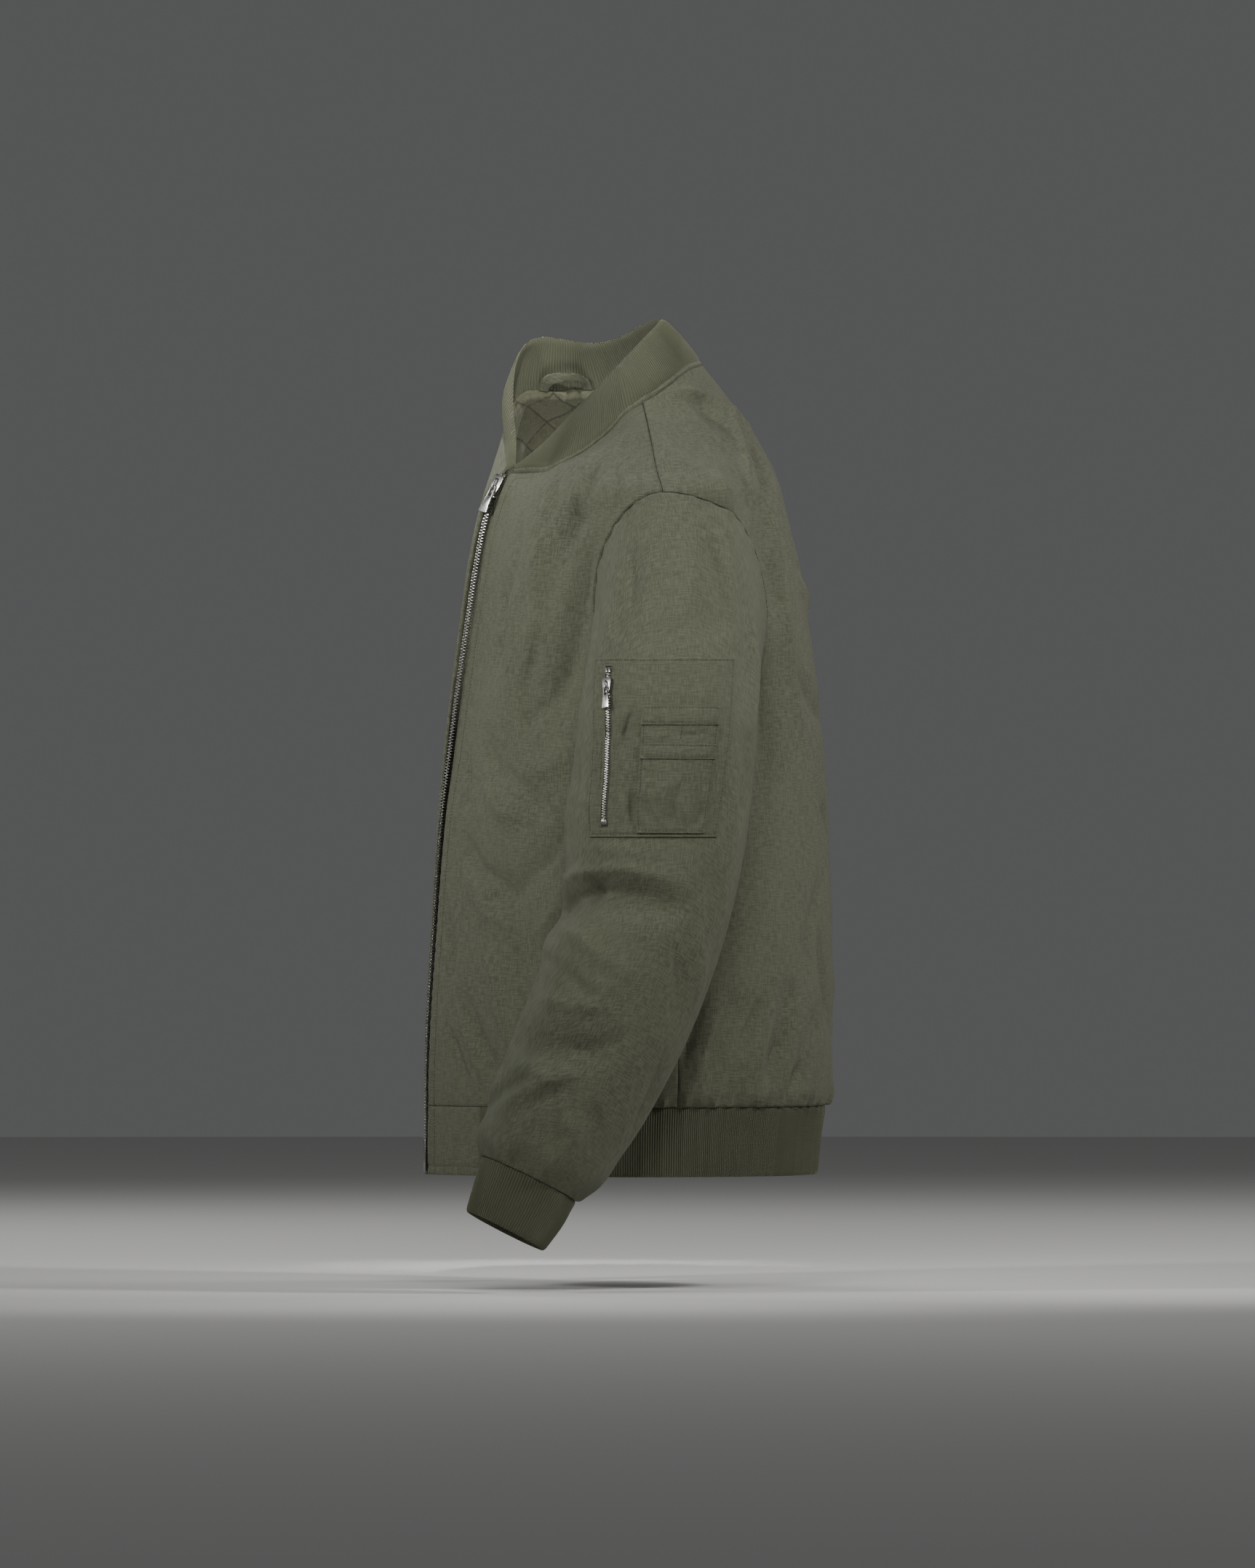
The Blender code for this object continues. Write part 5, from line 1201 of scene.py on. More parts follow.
# %% Back
def make_back():
    climb_count, armhole_count, shoulder_rows = len(SIDE_CLIMB), len(ARMHOLE_STOPS), 5
    marks = np.arange(climb_count + armhole_count + 1 + shoulder_rows)
    lengths = np.concatenate([np.diff(SIDE_CLIMB), np.full(armhole_count + 1, 22.0), np.full(shoulder_rows, 29.0)])
    at = row_places(marks, lengths, PANEL_CELL)
    side_z = np.interp(at, np.arange(climb_count), HEM_SEAM_Z + SIDE_CLIMB)
    around = np.interp(at, climb_count - 1 + np.arange(armhole_count + 2), [-180, *-ARMHOLE_STOPS, 0])
    hole_turn, hole_z = armhole_place(1, around)
    tip = climb_count + armhole_count
    shoulder_z = np.interp(at, [tip, marks[-1]], [SHOULDER_TIP_Z, NECK_SIDE_Z])
    edge_z = np.where(at <= climb_count - 1, side_z, np.where(at <= tip, hole_z, shoulder_z))
    on_seam = (at <= climb_count - 1) | (at >= tip)
    edge_turn = np.where(on_seam, side_seam_turn(edge_z, True), hole_turn)
    centre_z = np.interp(at, marks, [
        *(HEM_SEAM_Z + SIDE_CLIMB), *np.linspace(-225, -40, armhole_count + 1),
        *np.linspace(-25, NECK_BACK_Z, shoulder_rows)])
    coarse = body_form(180 + (edge_turn[:, None] - 180) * PROBE, between(centre_z, edge_z, PROBE))
    share = columns_between(lengths_along(coarse, 1)[:, -1], PANEL_CELL, (0, 2), CLOSE)
    neck_turn, neck_z = neck_place(180 + (NECK_SIDE_ROUND - 180) * share)
    level = ((centre_z - HEM_SEAM_Z) / (NECK_BACK_Z - HEM_SEAM_Z))[:, None]**4
    turn = 180 * (1 - share) + edge_turn[:, None] * share + level * (neck_turn - (180 - 90 * share))
    straight = NECK_BACK_Z + (NECK_SIDE_Z - NECK_BACK_Z) * share
    height = between(centre_z, edge_z, share) + level * (neck_z - straight)
    turn = np.concatenate([turn[:, ::-1], 360 - turn[:, 1:]], axis=1)
    height = np.concatenate([height[:, ::-1], height[:, 1:]], axis=1)
    return body_panel("back", "back_shell", turn, height, seam_roll(body(turn, height), ALL_SIDES))


back = make_back()

# %% [markdown]
# ## Sleeves
#
# Each sleeve is one cut of cloth sewn into a tube, set into the armhole with a little extra length eased
# round its head, and gathered into the cuff. The tube has a seam under the arm, where the rolled edges of
# the cloth meet, so the grid closes on itself and the seam is a shallow channel along the underside.

# %% Sleeves
UNDERARM_ROUND, SLEEVE_CELL, SLEEVE_ROUNDS = 186, 3.9, 112


def make_sleeve(node, side):
    marks = np.array([0, 0.2, 0.6, 1.0, 2.0, 3.0, 4.0, 5.0, 6.0, 7.0, 8.0, 9.0, 9.5, CUFF_RING])
    lengths = np.diff(marks) * np.interp(marks[:-1], [0, 1, 3, 5, 9, 10], [175, 60, 42, 42, 50, 46])
    ring = row_places(marks, lengths, SLEEVE_CELL)[:, None]
    around = np.linspace(0, 360, SLEEVE_ROUNDS + 1)[None, :-1]
    flat = sleeve(side, around, ring)
    roll = seam_roll(flat, ("top", "bottom")) + channel(half_turns(around - UNDERARM_ROUND) * ROUND_MM, 0, 1.7, 0.9)
    uv = np.stack(np.broadcast_arrays(around * ROUND_MM, -lengths_along(flat, 0)), axis=-1)
    outer, inner = sleeve(side, around, ring, roll), sleeve(side, around, ring, -WALL)
    return shell_piece(node, node + "_shell", outer, inner, SHELL, uv, loop=True)


left_sleeve = make_sleeve("left_sleeve", 1)
right_sleeve = make_sleeve("right_sleeve", -1)

# %% [markdown]
# ## Ribs
#
# The collar, cuffs and hem are knitted: columns of loops stand up about every 2 mm and the knit gives
# between them. A flat band with painted stripes would stay a smooth tube, so each column is really modelled,
# with four points to a column, and the finish adds the loops. Ribs follow the band: straight up at the
# hem, fanning a little where a cuff narrows.

# %% Rib helpers
CUFF_GIRTH, HEM_GIRTH = 224.0, 1010.0
KNIT_BACK = 0.6                                            # how much of a rib's rise shows on the inside


def rib_rounds(girth):
    """Four places to a rib, over a girth in millimetres, from 0 to 1; each one's rise, and how many ribs."""
    ribs = int(round(girth / RIB_PITCH))
    at = np.arange(ribs * 4) / (ribs * 4)
    return at, RIB_RISE * np.cos(2 * np.pi * ribs * at), ribs


def rounded_ends(far_low, far_high, deep=1.2, reach=1.6):
    """How far a knit's face falls back towards both of its edges."""
    return -deep * np.exp(-(np.minimum(far_low, far_high) / reach)**1.5)


print("ribs round a cuff", rib_rounds(CUFF_GIRTH)[2], "and round the hem", rib_rounds(HEM_GIRTH)[2])


# %% Cuffs
def make_cuff(node, side):
    at, rise, ribs = rib_rounds(CUFF_GIRTH)
    ring = CUFF_RING + 0.015 + (CUFF_END_RING - CUFF_RING - 0.015) * np.array(
        [0, 0.012, 0.03, 0.06, 0.12, 0.22, 0.34, 0.46, 0.58, 0.70, 0.82, 0.90, 0.95, 0.975, 0.99, 1.0])
    around, ring = (at * 360)[None, :], ring[:, None]
    flat = sleeve(side, around, ring)
    far = lengths_along(flat, 0)
    ends = rounded_ends(far, far[-1:] - far)
    slack = 0.8 * sine(around * 3 + 20) * bell(far, 24, 16) + 0.5 * sine(around * 7) * np.exp(-far / 14)
    outer = sleeve(side, around, ring, rise[None, :] + ends + slack)
    inner = sleeve(side, around, ring, -RIB_WALL - KNIT_BACK * rise[None, :] - KNIT_BACK * ends)
    uv = np.stack(np.broadcast_arrays(at[None, :] * ribs * RIB_PITCH, -far), axis=-1)
    return shell_piece(node, node + "_knit", outer, inner, RIB, uv, slot="rib", loop=True)


left_cuff, right_cuff = make_cuff("left_cuff", 1), make_cuff("right_cuff", -1)

# %% Hem
HEM_BLOCK_TURN, HEM_BLOCK_LONG, HEM_DEPTH = 27.0, 88.0, 190
RIB_CLIMB = np.array([0, 0.5, 1.2, 2.2, 4, 8, 14, 21, 28, 35, 42, 49, 54, 56.3, 57.4, 58.2, 58.7])
BLOCK_CLIMB = np.array([0, 0.5, 1.2, 2.2, 3.4, 5, 7, 8, 9, 11, 15, 20, 26, 32, 38, 44, 50, 53, 55.5, 57, 58, 58.7])


def hem_wave(turn, height):
    """The rib is drawn in, so it swings in and out gently between the gathers."""
    return bell(height, -634, 26) * (0.9 * sine(turn * 9 + 30) + 0.7 * sine(turn * 14 + 80))


def make_hem_rib():
    gap = np.degrees(SEAM_GAP / HEM_DEPTH)
    at, rise, ribs = rib_rounds(HEM_GIRTH)
    at, rise = np.append(at, 1.0), np.append(rise, rise[0])
    turn, height = np.meshgrid(
        HEM_BLOCK_TURN + gap + (360 - 2 * HEM_BLOCK_TURN - 2 * gap) * at, HEM_END_Z + RIB_CLIMB)
    far, along = height - HEM_END_Z, at[None, :] * HEM_GIRTH
    ends = rounded_ends(far, far[-1:] - far) + rounded_ends(along, HEM_GIRTH - along, 0.9, 1.2)
    swing = hem_wave(turn, height)
    outer = body(turn, height, rise[None, :] + ends + swing)
    inner = body(turn, height, swing - RIB_WALL - KNIT_BACK * rise[None, :])
    uv = np.stack(np.broadcast_arrays(at[None, :] * ribs * RIB_PITCH, height), axis=-1)
    return shell_piece("hem_rib", "hem_rib_knit", outer, inner, RIB, uv, slot="rib")


def make_hem_block(node, side):
    heights = HEM_END_Z + BLOCK_CLIMB
    start = zip_turn(heights, ZIP_HALF_OPENING)
    across = columns_between(np.full(len(heights), HEM_BLOCK_LONG), 3.0, (*CLOSE, 6, 7, 8, 9, 10.6), CLOSE)
    turn = (start[:, None] + (HEM_BLOCK_TURN - start[:, None]) * across) * side
    height = np.broadcast_to(heights[:, None], turn.shape)
    flat = body(turn, height)
    low = lengths_along(flat, 0)
    roll = seam_roll(flat, ALL_SIDES, 1.0, 0.25) + channel(low, BLOCK_LINE_UP, 1.0, 0.6)
    roll = roll + 0.5 * np.sin(turn * 0.9) * bell(low, 30, 18)
    return body_panel(node, node + "_cloth", turn, height, roll)


hem_rib = make_hem_rib()
hem_blocks = [make_hem_block("hem_block_left", 1), make_hem_block("hem_block_right", -1)]

# %% [markdown]
# ## Collar and neck band
#
# The collar is one doubled rib that follows the neck seam, with a narrow band of shell cloth between it
# and the body. Its surface runs from the seam up to a top edge that is a plain tilted oval, and the two
# ends stop beside the zip. The top is folded over, so it is round in section, not cut off square.

# %% Collar surface
COLLAR_MIDDLE_Y, COLLAR_HALF_WIDE, COLLAR_HALF_DEEP, COLLAR_BOW = -33.5, 78.0, 63.0, 3.0
COLLAR_RISE, SIDE_RISE, TILT, FRONT_RISE = 5.8, 14.0, 64.8, 5.0            # the height of its top edge
BAND_TALL, BAND_SHARE = 5.0, 0.4                                           # the neck band's share of the collar


def collar_top(around):
    front = bell(np.minimum(around, 360 - around), 0, 30)
    rise = COLLAR_RISE + SIDE_RISE * np.abs(sine(around)) - TILT * cosine(around) + FRONT_RISE * front
    return np.stack([
        COLLAR_HALF_WIDE * sine(around), COLLAR_MIDDLE_Y - COLLAR_HALF_DEEP * cosine(around), rise], axis=-1)


def collar_form(around, up):
    base, _, off_edge = edge_frame(neck_place, around)
    base = base + off_edge * NECK_STEP
    top = collar_top(around)
    inward = unit(base * np.array([1, 1, 0]) - np.array([0, COLLAR_MIDDLE_Y, 0]))
    up = np.asarray(up, float)[..., None]
    return base + (top - base) * up + inward * (COLLAR_BOW * 4 * up * (1 - up))


def collar_height(around):
    """Millimetres from the neck seam to the collar's top edge."""
    return np.linalg.norm(collar_form(around, np.ones((1, 1))) - collar_form(around, np.zeros((1, 1))), axis=-1)


def collar_surface(around, up, out):
    own = normals(collar_form, around, np.clip(up, 0.02, 0.98), (1.0, 0.02))
    share = ease(up, 0.0, 0.5)[..., None]
    way = unit(own * share + body_out(*neck_place(around)) * (1 - share))
    return collar_form(around, up) + way * np.asarray(out, float)[..., None]


def even_rounds(up, start, end, count):
    """Places round the collar that are the same distance apart along it."""
    probe = np.linspace(start, end, 400)[None, :]
    reach = lengths_along(collar_form(probe, np.array([[up]])), 1)[0]
    return np.interp(np.linspace(0, reach[-1], count), reach, probe[0]), reach[-1]


back_height = float(collar_height(np.array([[180.0]]))[0, 0])
print("the collar with its band is", round(back_height), "mm high at the back")

# %% Collar and band
COLLAR_FROM, COLLAR_TO = NECK_STOPS[0], 360 - NECK_STOPS[0]
COLLAR_LEVELS = np.array([
    0, 0.012, 0.03, 0.055, 0.10, 0.18, 0.28, 0.38, 0.48, 0.58, 0.68, 0.78, 0.86, 0.92, 0.955, 0.978, 0.992, 1.0])


def make_collar():
    _, girth = even_rounds(0.6, COLLAR_FROM, COLLAR_TO, 10)
    ribs = int(round(girth / RIB_PITCH))
    around = even_rounds(0.6, COLLAR_FROM, COLLAR_TO, ribs * 4 + 1)[0][None, :]
    rise = RIB_RISE * np.cos(2 * np.pi * np.arange(ribs * 4 + 1) / 4)
    tall = collar_height(around)
    start = np.minimum(BAND_TALL / tall, BAND_SHARE) - 1.0 / tall          # it starts a little inside the band
    up = start + (1 - start) * COLLAR_LEVELS[:, None]
    flat = collar_surface(around, up, 0.0)
    low = lengths_along(flat, 0)
    high = low[-1:] - low
    side = lengths_along(flat, 1)
    ends = rounded_ends(low, high, 1.35, 1.9) + rounded_ends(side, side[:, -1:] - side, 1.0, 1.4)
    slack = 0.7 * sine(around * 4 + 40) * bell(low, 20, 16) + 0.35 * sine(around * 11) * np.exp(-low / 9)
    outer = collar_surface(around, up, rise[None, :] + ends + slack)
    top = rounded_ends(high, high, 1.35, 1.9) + rounded_ends(side, side[:, -1:] - side, 1.0, 1.4)
    inner = collar_surface(around, up, slack * ease(low, 0, 4) - top - 0.5 * rise[None, :] - RIB_WALL)
    uv = np.stack(np.broadcast_arrays(np.arange(ribs * 4 + 1)[None, :] * RIB_PITCH / 4, low), axis=-1)
    return shell_piece("collar", "collar_knit", outer, inner, RIB, uv, slot="rib")


def make_neck_band():
    around = even_rounds(0.1, COLLAR_FROM, COLLAR_TO, 300)[0][None, :]
    levels = np.array([0, 0.08, 0.2, 0.34, 0.5, 0.66, 0.8, 0.92, 1.0])[:, None]
    up = np.minimum(BAND_TALL / collar_height(around), BAND_SHARE) * levels
    flat = collar_surface(around, up, 0.0)
    low, along = lengths_along(flat, 0), lengths_along(flat, 1)
    roll = -0.9 * np.exp(-(np.minimum(low, low[-1:] - low) / 0.9)**ROLL_SHARPNESS)
    roll = roll + 0.18 * wave(along, 6.3) + 0.12 * wave(along, 9.7)
    outer, inner = collar_surface(around, up, roll), collar_surface(around, up, -WALL)
    return shell_piece("neck_band", "neck_band_cloth", outer, inner, SHELL, np.stack([along, low], axis=-1))


collar, neck_band = make_collar(), make_neck_band()

# %% [markdown]
# ## Lining and hanger loop
#
# Inside the neck shows a quilted lining: two layers of thin cloth sewn through a soft filling in diamonds,
# so it puffs between the lines and is thin along them. Its top is gathered in small pleats under the rib.
# A tape loop is sewn there to hang the jacket up by; it bows away from the collar, so a hook can go through.

# %% Lining
LINING_COLUMNS = ("round", "turn", "height")
LINING_ROWS = np.array([
    (0, 6, -150), (38, 18, -140), (68, 42, -105), (94, 72, -58),
    (105, 90, -46), (120, 112, -55), (150, 150, -85), (180, 180, -95)], float)
LINING_WALL, LINING_FREE, LINING_LONG = 1.6, 9.0, 110.0
PUFF, PUFF_SHARPNESS, PLEAT_RISE = 3.4, 0.45, 0.7
ON_BAND = np.array([0, 0.25, 0.5, 0.75])[:, None]          # the first rows climb the inside of the neck band


def make_lining():
    around, down = np.meshgrid(
        np.linspace(8, 352, 320), spread(LINING_LONG, 2.6, (0, 0.6, 1.4, 2.6, 4.0), (0, 0.6, 1.4, 2.6)))
    size = np.minimum(around, 360 - around)
    neck_turn, neck_z = neck_place(size)
    turn = neck_turn + (column(LINING_ROWS, LINING_COLUMNS, "turn", size) - neck_turn) * down
    height = neck_z - 0.5 + (column(LINING_ROWS, LINING_COLUMNS, "height", size) - neck_z) * down
    turn = np.where(around > 180, 360 - turn, turn)
    form, out = body_form(turn, height), body_out(turn, height)
    rounds = around[:1]
    level = np.minimum(5.6 / collar_height(rounds), 0.45) * (1 - ON_BAND)
    band = collar_form(rounds, level)
    form = np.concatenate([band, form])
    out = np.concatenate([collar_surface(rounds, level, 1.0) - band, out])
    down = np.concatenate([np.zeros(level.shape), down])
    along = np.broadcast_to(lengths_along(form, 1)[len(ON_BAND)][None, :], form.shape[:2])
    low = lengths_along(form, 0)
    first, second = (along + low) / DIAMOND, (along - low) / DIAMOND
    puff = (np.abs(np.sin(np.pi * first)) * np.abs(np.sin(np.pi * second)))**PUFF_SHARPNESS
    pleats = (wave(along, 6.1) + 0.6 * wave(along, 9.4, 1)) * np.exp(-low / 16)
    crinkle = 0.35 * wave(along, 7.0, 2 * first) * bell(np.sin(np.pi * first), 0, 0.25)
    back = -(WALL + 0.6 + LINING_FREE * ease(down, 0, 0.5))
    inner = back - LINING_WALL - PUFF * puff * ease(low, 3, 14) - PLEAT_RISE * pleats - crinkle
    edge = ease(np.minimum(low, low[-1:] - low), 0, 2.0)
    back_face = form + out * (back - 0.4 * (1 - edge))[..., None]
    quilted_face, uv = form + out * inner[..., None], np.stack([along, low], axis=-1)
    return shell_piece("neck_lining", "neck_lining_quilt", back_face, quilted_face, LINING, uv, slot="lining")


LOOP_ROUND, LOOP_UP, LOOP_WALL, LOOP_BOW = 266.0, 7.5, 1.2, 4.0
LOOP_HALF, LOOP_HEIGHT = (9.5, 6.6), (16.5, 10.5)          # of its outer and its inner edge: half width, height


def make_loop():
    swing = np.linspace(0, np.pi, 61)[None, :]
    share = np.linspace(0, 1, 9)[:, None]
    edge = np.exp(-np.minimum(share, 1 - share) / 0.10)
    half, tall = (outer + (inner - outer) * share for outer, inner in (LOOP_HALF, LOOP_HEIGHT))
    around = LOOP_ROUND + half * np.cos(swing)
    level = (LOOP_UP + tall * np.sin(swing)**0.7) / collar_height(around)
    face = -RIB_WALL - 1.2 - LOOP_BOW * np.sin(swing)
    ripple = 0.25 * np.sin(swing * 5 + 1) * (1 - edge)
    outer = collar_surface(around, level, face - 0.35 * edge)
    inner = collar_surface(around, level, face - LOOP_WALL + 0.35 * edge - ripple)
    uv = np.stack([lengths_along(outer, 1), lengths_along(outer, 0)], axis=-1)
    return shell_piece("hanger_loop", "hanger_loop_tape", outer, inner, SHELL, uv)


lining, loop_tape = make_lining(), make_loop()

# %% [markdown]
# ## Zips
#
# A metal zip is two woven tapes, each with a row of clamped teeth that catch between each other. One strip
# of metal would shine as one band, while real teeth break the light into dots, so every tooth is modelled:
# a root that grips the tape, a waist, and a head that reaches past the middle. Teeth are placed along the
# cloth by a small frame of three directions, across, up and out, so they turn with the front edge.

# %% Frames along a zip and strips of tape
def frames_along(point, heights):
    """At each height: the place, and its across, up and out directions."""
    zero = np.zeros_like(heights)
    here = point(heights, zero, zero)
    up = unit(point(heights + 2, zero, zero) - point(heights - 2, zero, zero))
    out = unit(point(heights, zero, zero + 1.0) - here)
    out = unit(out - up * (out * up).sum(axis=-1, keepdims=True))
    return here, np.stack([np.cross(up, out), up, out], axis=1)


def front_zip(height, across, out):
    return body(zip_turn(height, across), height, out, fine=False)


def tape_strip(name, node, place, across, heights, front, back, curl=0.35):
    side, height = np.meshgrid(across, heights)
    flat = place(height, side, np.full(side.shape, front))
    near = border_distance(flat, ("left", "right"))
    ripple = curl * wave(lengths_along(flat, 0), 17.0) * ease(near, 0, 4)
    edge = -0.3 * np.exp(-near / 0.5)
    outer = place(height, side, front + edge + 0.3 * ripple)
    inner = place(height, side, back - 0.2 * edge + 0.3 * ripple)
    uv = np.stack([lengths_along(flat, 1), height], axis=-1)
    return shell_piece(node, name, outer, inner, TAPE, uv, slot="zip_tape")


ZIP_END_Z, CHAIN_TOP_Z, CHAIN_END_Z = -662.0, -66.0, -632.0
TAPE_FRONT, TAPE_BACK = -3.6, -4.6
TAPE_PLACES = np.array([2.95, 3.3, 4.0, 5.2, 6.5, 8.0, 10.0, 12.0, 14.0, 15.0])
tape_heights = np.linspace(ZIP_END_Z, NECK_FRONT_Z - 1, 180)
tapes = [tape_strip(node + "_woven", node, front_zip, places, tape_heights, TAPE_FRONT, TAPE_BACK)
         for node, places in (("zip_tape_left", TAPE_PLACES), ("zip_tape_right", -TAPE_PLACES[::-1]))]
print("tapes", [SHEET_AREAS[piece.name] for piece in tapes])


# %% Teeth
TOOTH_PITCH, TEETH_OUT = 1.27, -2.25
TOOTH_STATIONS = np.array([      # across, half height, half depth
    (2.65, 0.34, 1.05), (2.30, 0.50, 1.45), (0.85, 0.44, 1.35), (0.20, 0.52, 1.50), (-0.45, 0.50, 1.40),
    (-0.80, 0.28, 0.85)])
TOOTH_RING = np.array([
    (1, 0.55), (0.55, 1), (-0.55, 1), (-1, 0.55), (-1, -0.55), (-0.55, -1), (0.55, -1), (1, -0.55)])


def teeth_mesh(name, here, ways, middle_out, scale, material):
    """One tooth for each frame, by turns from the left and from the right tape."""
    points, faces = [], []
    sides = len(TOOTH_RING)
    per = len(TOOTH_STATIONS) * sides
    for number, (spot, way) in enumerate(zip(here, ways)):
        side = 1 if number % 2 else -1
        local = np.array([[(side * across, tall * up, deep * out) for up, out in TOOTH_RING]
                          for across, tall, deep in TOOTH_STATIONS]).reshape(-1, 3) * scale
        points.append(spot + (local + np.array([0, 0, middle_out])) @ way)
        base = number * per
        for ring in range(base, base + per - sides, sides):
            for k in range(sides):
                a, b = ring + k, ring + (k + 1) % sides
                faces.append([a, b, b + sides, a + sides])
        faces.append(list(range(base, base + sides)))
        faces.append(list(range(base + per - 1, base + per - sides - 1, -1)))
    return small_solids(name, np.concatenate(points), faces, material, TOOTH_ANGLE)


tooth_heights = np.arange(CHAIN_END_Z + 0.8, CHAIN_TOP_Z, TOOTH_PITCH)
front_teeth = teeth_mesh("zip_teeth", *frames_along(front_zip, tooth_heights), TEETH_OUT, 1.0, DULL_NICKEL)
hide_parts("zip_chain")

# %% [markdown]
# ## Sliders, pulls and stops
#
# These are die-cast: their solids are right but every edge is knife sharp. Cast metal always has a small
# radius, and that radius is what catches the light, so each is copied from its solid, its flat faces are
# merged, and its edges are rounded with a bevel before the copy takes the solid's place.

# %% Cast metal pieces
FLAT_ENOUGH, SHARP_EDGE = 3, 25                            # degrees between faces: merged below, rounded above


def cast_copy(node, name, radius, body_name):
    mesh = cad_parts[node].data.copy()
    mesh.name = name
    made = bmesh.new()
    made.from_mesh(mesh)
    bmesh.ops.remove_doubles(made, verts=made.verts, dist=1e-6)
    bmesh.ops.dissolve_limit(made, angle_limit=np.radians(FLAT_ENOUGH), verts=made.verts, edges=made.edges)
    sharp = [edge for edge in made.edges
             if len(edge.link_faces) == 2 and edge.calc_face_angle() > np.radians(SHARP_EDGE)]
    bmesh.ops.bevel(made, geom=sharp, offset=radius, offset_type="OFFSET", segments=2, profile=0.6,
                    affect="EDGES", clamp_overlap=True)
    made.to_mesh(mesh)
    made.free()
    mesh.materials.clear()
    piece = new_piece(name, mesh, DULL_NICKEL, CAST_ANGLE, body_name)
    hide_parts(node)


CAST_PIECES = [      # node, radius of its edges in metres, body
    ("zip_slider", 0.00035, "jacket"), ("zip_pull", 0.00030, "front_pull"),
    ("zip_top_stop_left", 0.00030, "jacket"), ("zip_top_stop_right", 0.00030, "jacket"),
    ("zip_bottom_box", 0.00040, "jacket"), ("pocket_slider", 0.00028, "jacket"),
    ("pocket_pull", 0.00024, "pocket_pull_tab"), ("pocket_top_stop_front", 0.00025, "jacket"),
    ("pocket_top_stop_back", 0.00025, "jacket"), ("pocket_bottom_stop", 0.00025, "jacket")]
for node, radius, body_name in CAST_PIECES:
    cast_copy(node, node + "_cast", radius, body_name)

# %% [markdown]
# ## Sleeve pocket
#
# A flat patch is sewn on the left sleeve, with a slot for its own zip and a narrower pen pocket on top.
# The patch is made from the sleeve's own points moved out, so it wraps the arm. Its layers pile up at the
# edges, it is topstitched all round, and the pen pocket, which is creased by use, is held by bands across it.

# %% Places on the pocket
POCKET_COLUMNS = ("height", "middle", "half")
POCKET_ROWS = np.array([(-375, 10, 43.5), (-300, 13, 48), (-220, 13.5, 52.5)], float)
POCKET_HEIGHTS = np.array([-222, -229, -247, -264, -279, -295, -308, -325, -342, -357, -365, -370, -373], float)
POCKET_PLACES = np.array([-1, -0.88, -0.76, -0.57, -0.38, -0.18, 0.02, 0.22, 0.37, 0.51, 0.645, 0.755, 0.9, 1])
POCKET_ZIP_PLACE, POCKET_ZIP_SCALE = 0.70, 64.0            # the zip's place, and millimetres to a whole place
PATCH_OUT, PATCH_WALL, PATCH_PUFF, LAYER = 0.6, 1.4, 3.0, 1.2
PATCH_STITCH, PEN_STITCH = 2.4, 2.0                        # how far their stitching lies from their edges
SLOT = (0.645, 0.755, -229, -365)                          # the zip's slot: from and to a place, top and bottom
table_places, table_heights = np.linspace(-1.05, 1.05, 43), np.linspace(-214, -382, 57)
table_grid = np.meshgrid(table_places, table_heights)
pocket_middle = column(POCKET_ROWS, POCKET_COLUMNS, "middle", table_heights)[:, None]
pocket_half = column(POCKET_ROWS, POCKET_COLUMNS, "half", table_heights)[:, None]
RING_TABLE = sleeve_ring_at(pocket_middle + pocket_half * table_grid[0], table_grid[1])


def pocket_ring(height, place):
    """The sleeve's ring at a place of the pocket, read between the cells of a small table."""
    across = np.clip((place - table_places[0]) / (table_places[1] - table_places[0]), 0, len(table_places) - 1.001)
    down = np.clip((height - table_heights[0]) / (table_heights[1] - table_heights[0]), 0, len(table_heights) - 1.001)
    col, row = across.astype(int), down.astype(int)
    u, v = across - col, down - row
    return ((RING_TABLE[row, col] * (1 - u) + RING_TABLE[row, col + 1] * u) * (1 - v)
            + (RING_TABLE[row + 1, col] * (1 - u) + RING_TABLE[row + 1, col + 1] * u) * v)


def pocket_spot(height, place, out):
    height, place = np.broadcast_arrays(np.asarray(height, float), np.asarray(place, float))
    middle = column(POCKET_ROWS, POCKET_COLUMNS, "middle", height)
    half = column(POCKET_ROWS, POCKET_COLUMNS, "half", height)
    return sleeve(1, middle + half * place, pocket_ring(height, place), out)


def patch_out(height, place):
    sides = 1 - np.abs(place)**4
    ends = ease(height, POCKET_HEIGHTS[-1], -330) * (1 - ease(height, -262, POCKET_HEIGHTS[0]))
    return PATCH_OUT + PATCH_WALL + PATCH_PUFF * sides * ends * ease(np.abs(place - POCKET_ZIP_PLACE), 0.06, 0.3)


print("pocket", round(float(RING_TABLE.min()), 2), "to", round(float(RING_TABLE.max()), 2), "rings down the sleeve")


# %% Pocket layers
def fine_between(marks, cell_share, close=(0.012, 0.03, 0.055)):
    """Places that keep every mark, with a few more close beside the first and the last."""
    stretches = [np.linspace(a, b, max(2, int(np.ceil(abs(b - a) / cell_share)) + 1))[:-1]
                 for a, b in zip(marks, marks[1:])]
    near = np.sign(marks[-1] - marks[0]) * np.array(close)
    return np.unique(np.concatenate([*stretches, [marks[-1]], marks[0] + near, marks[-1] - near]))


def pocket_grid(rows, cells):
    places = fine_between(POCKET_PLACES[cells[0]:cells[1] + 1], 0.036)
    heights = fine_between(POCKET_HEIGHTS[rows[0]:rows[1] + 1], 2.2, (0.6, 1.4, 2.6))[::-1]
    return np.meshgrid(places, heights)


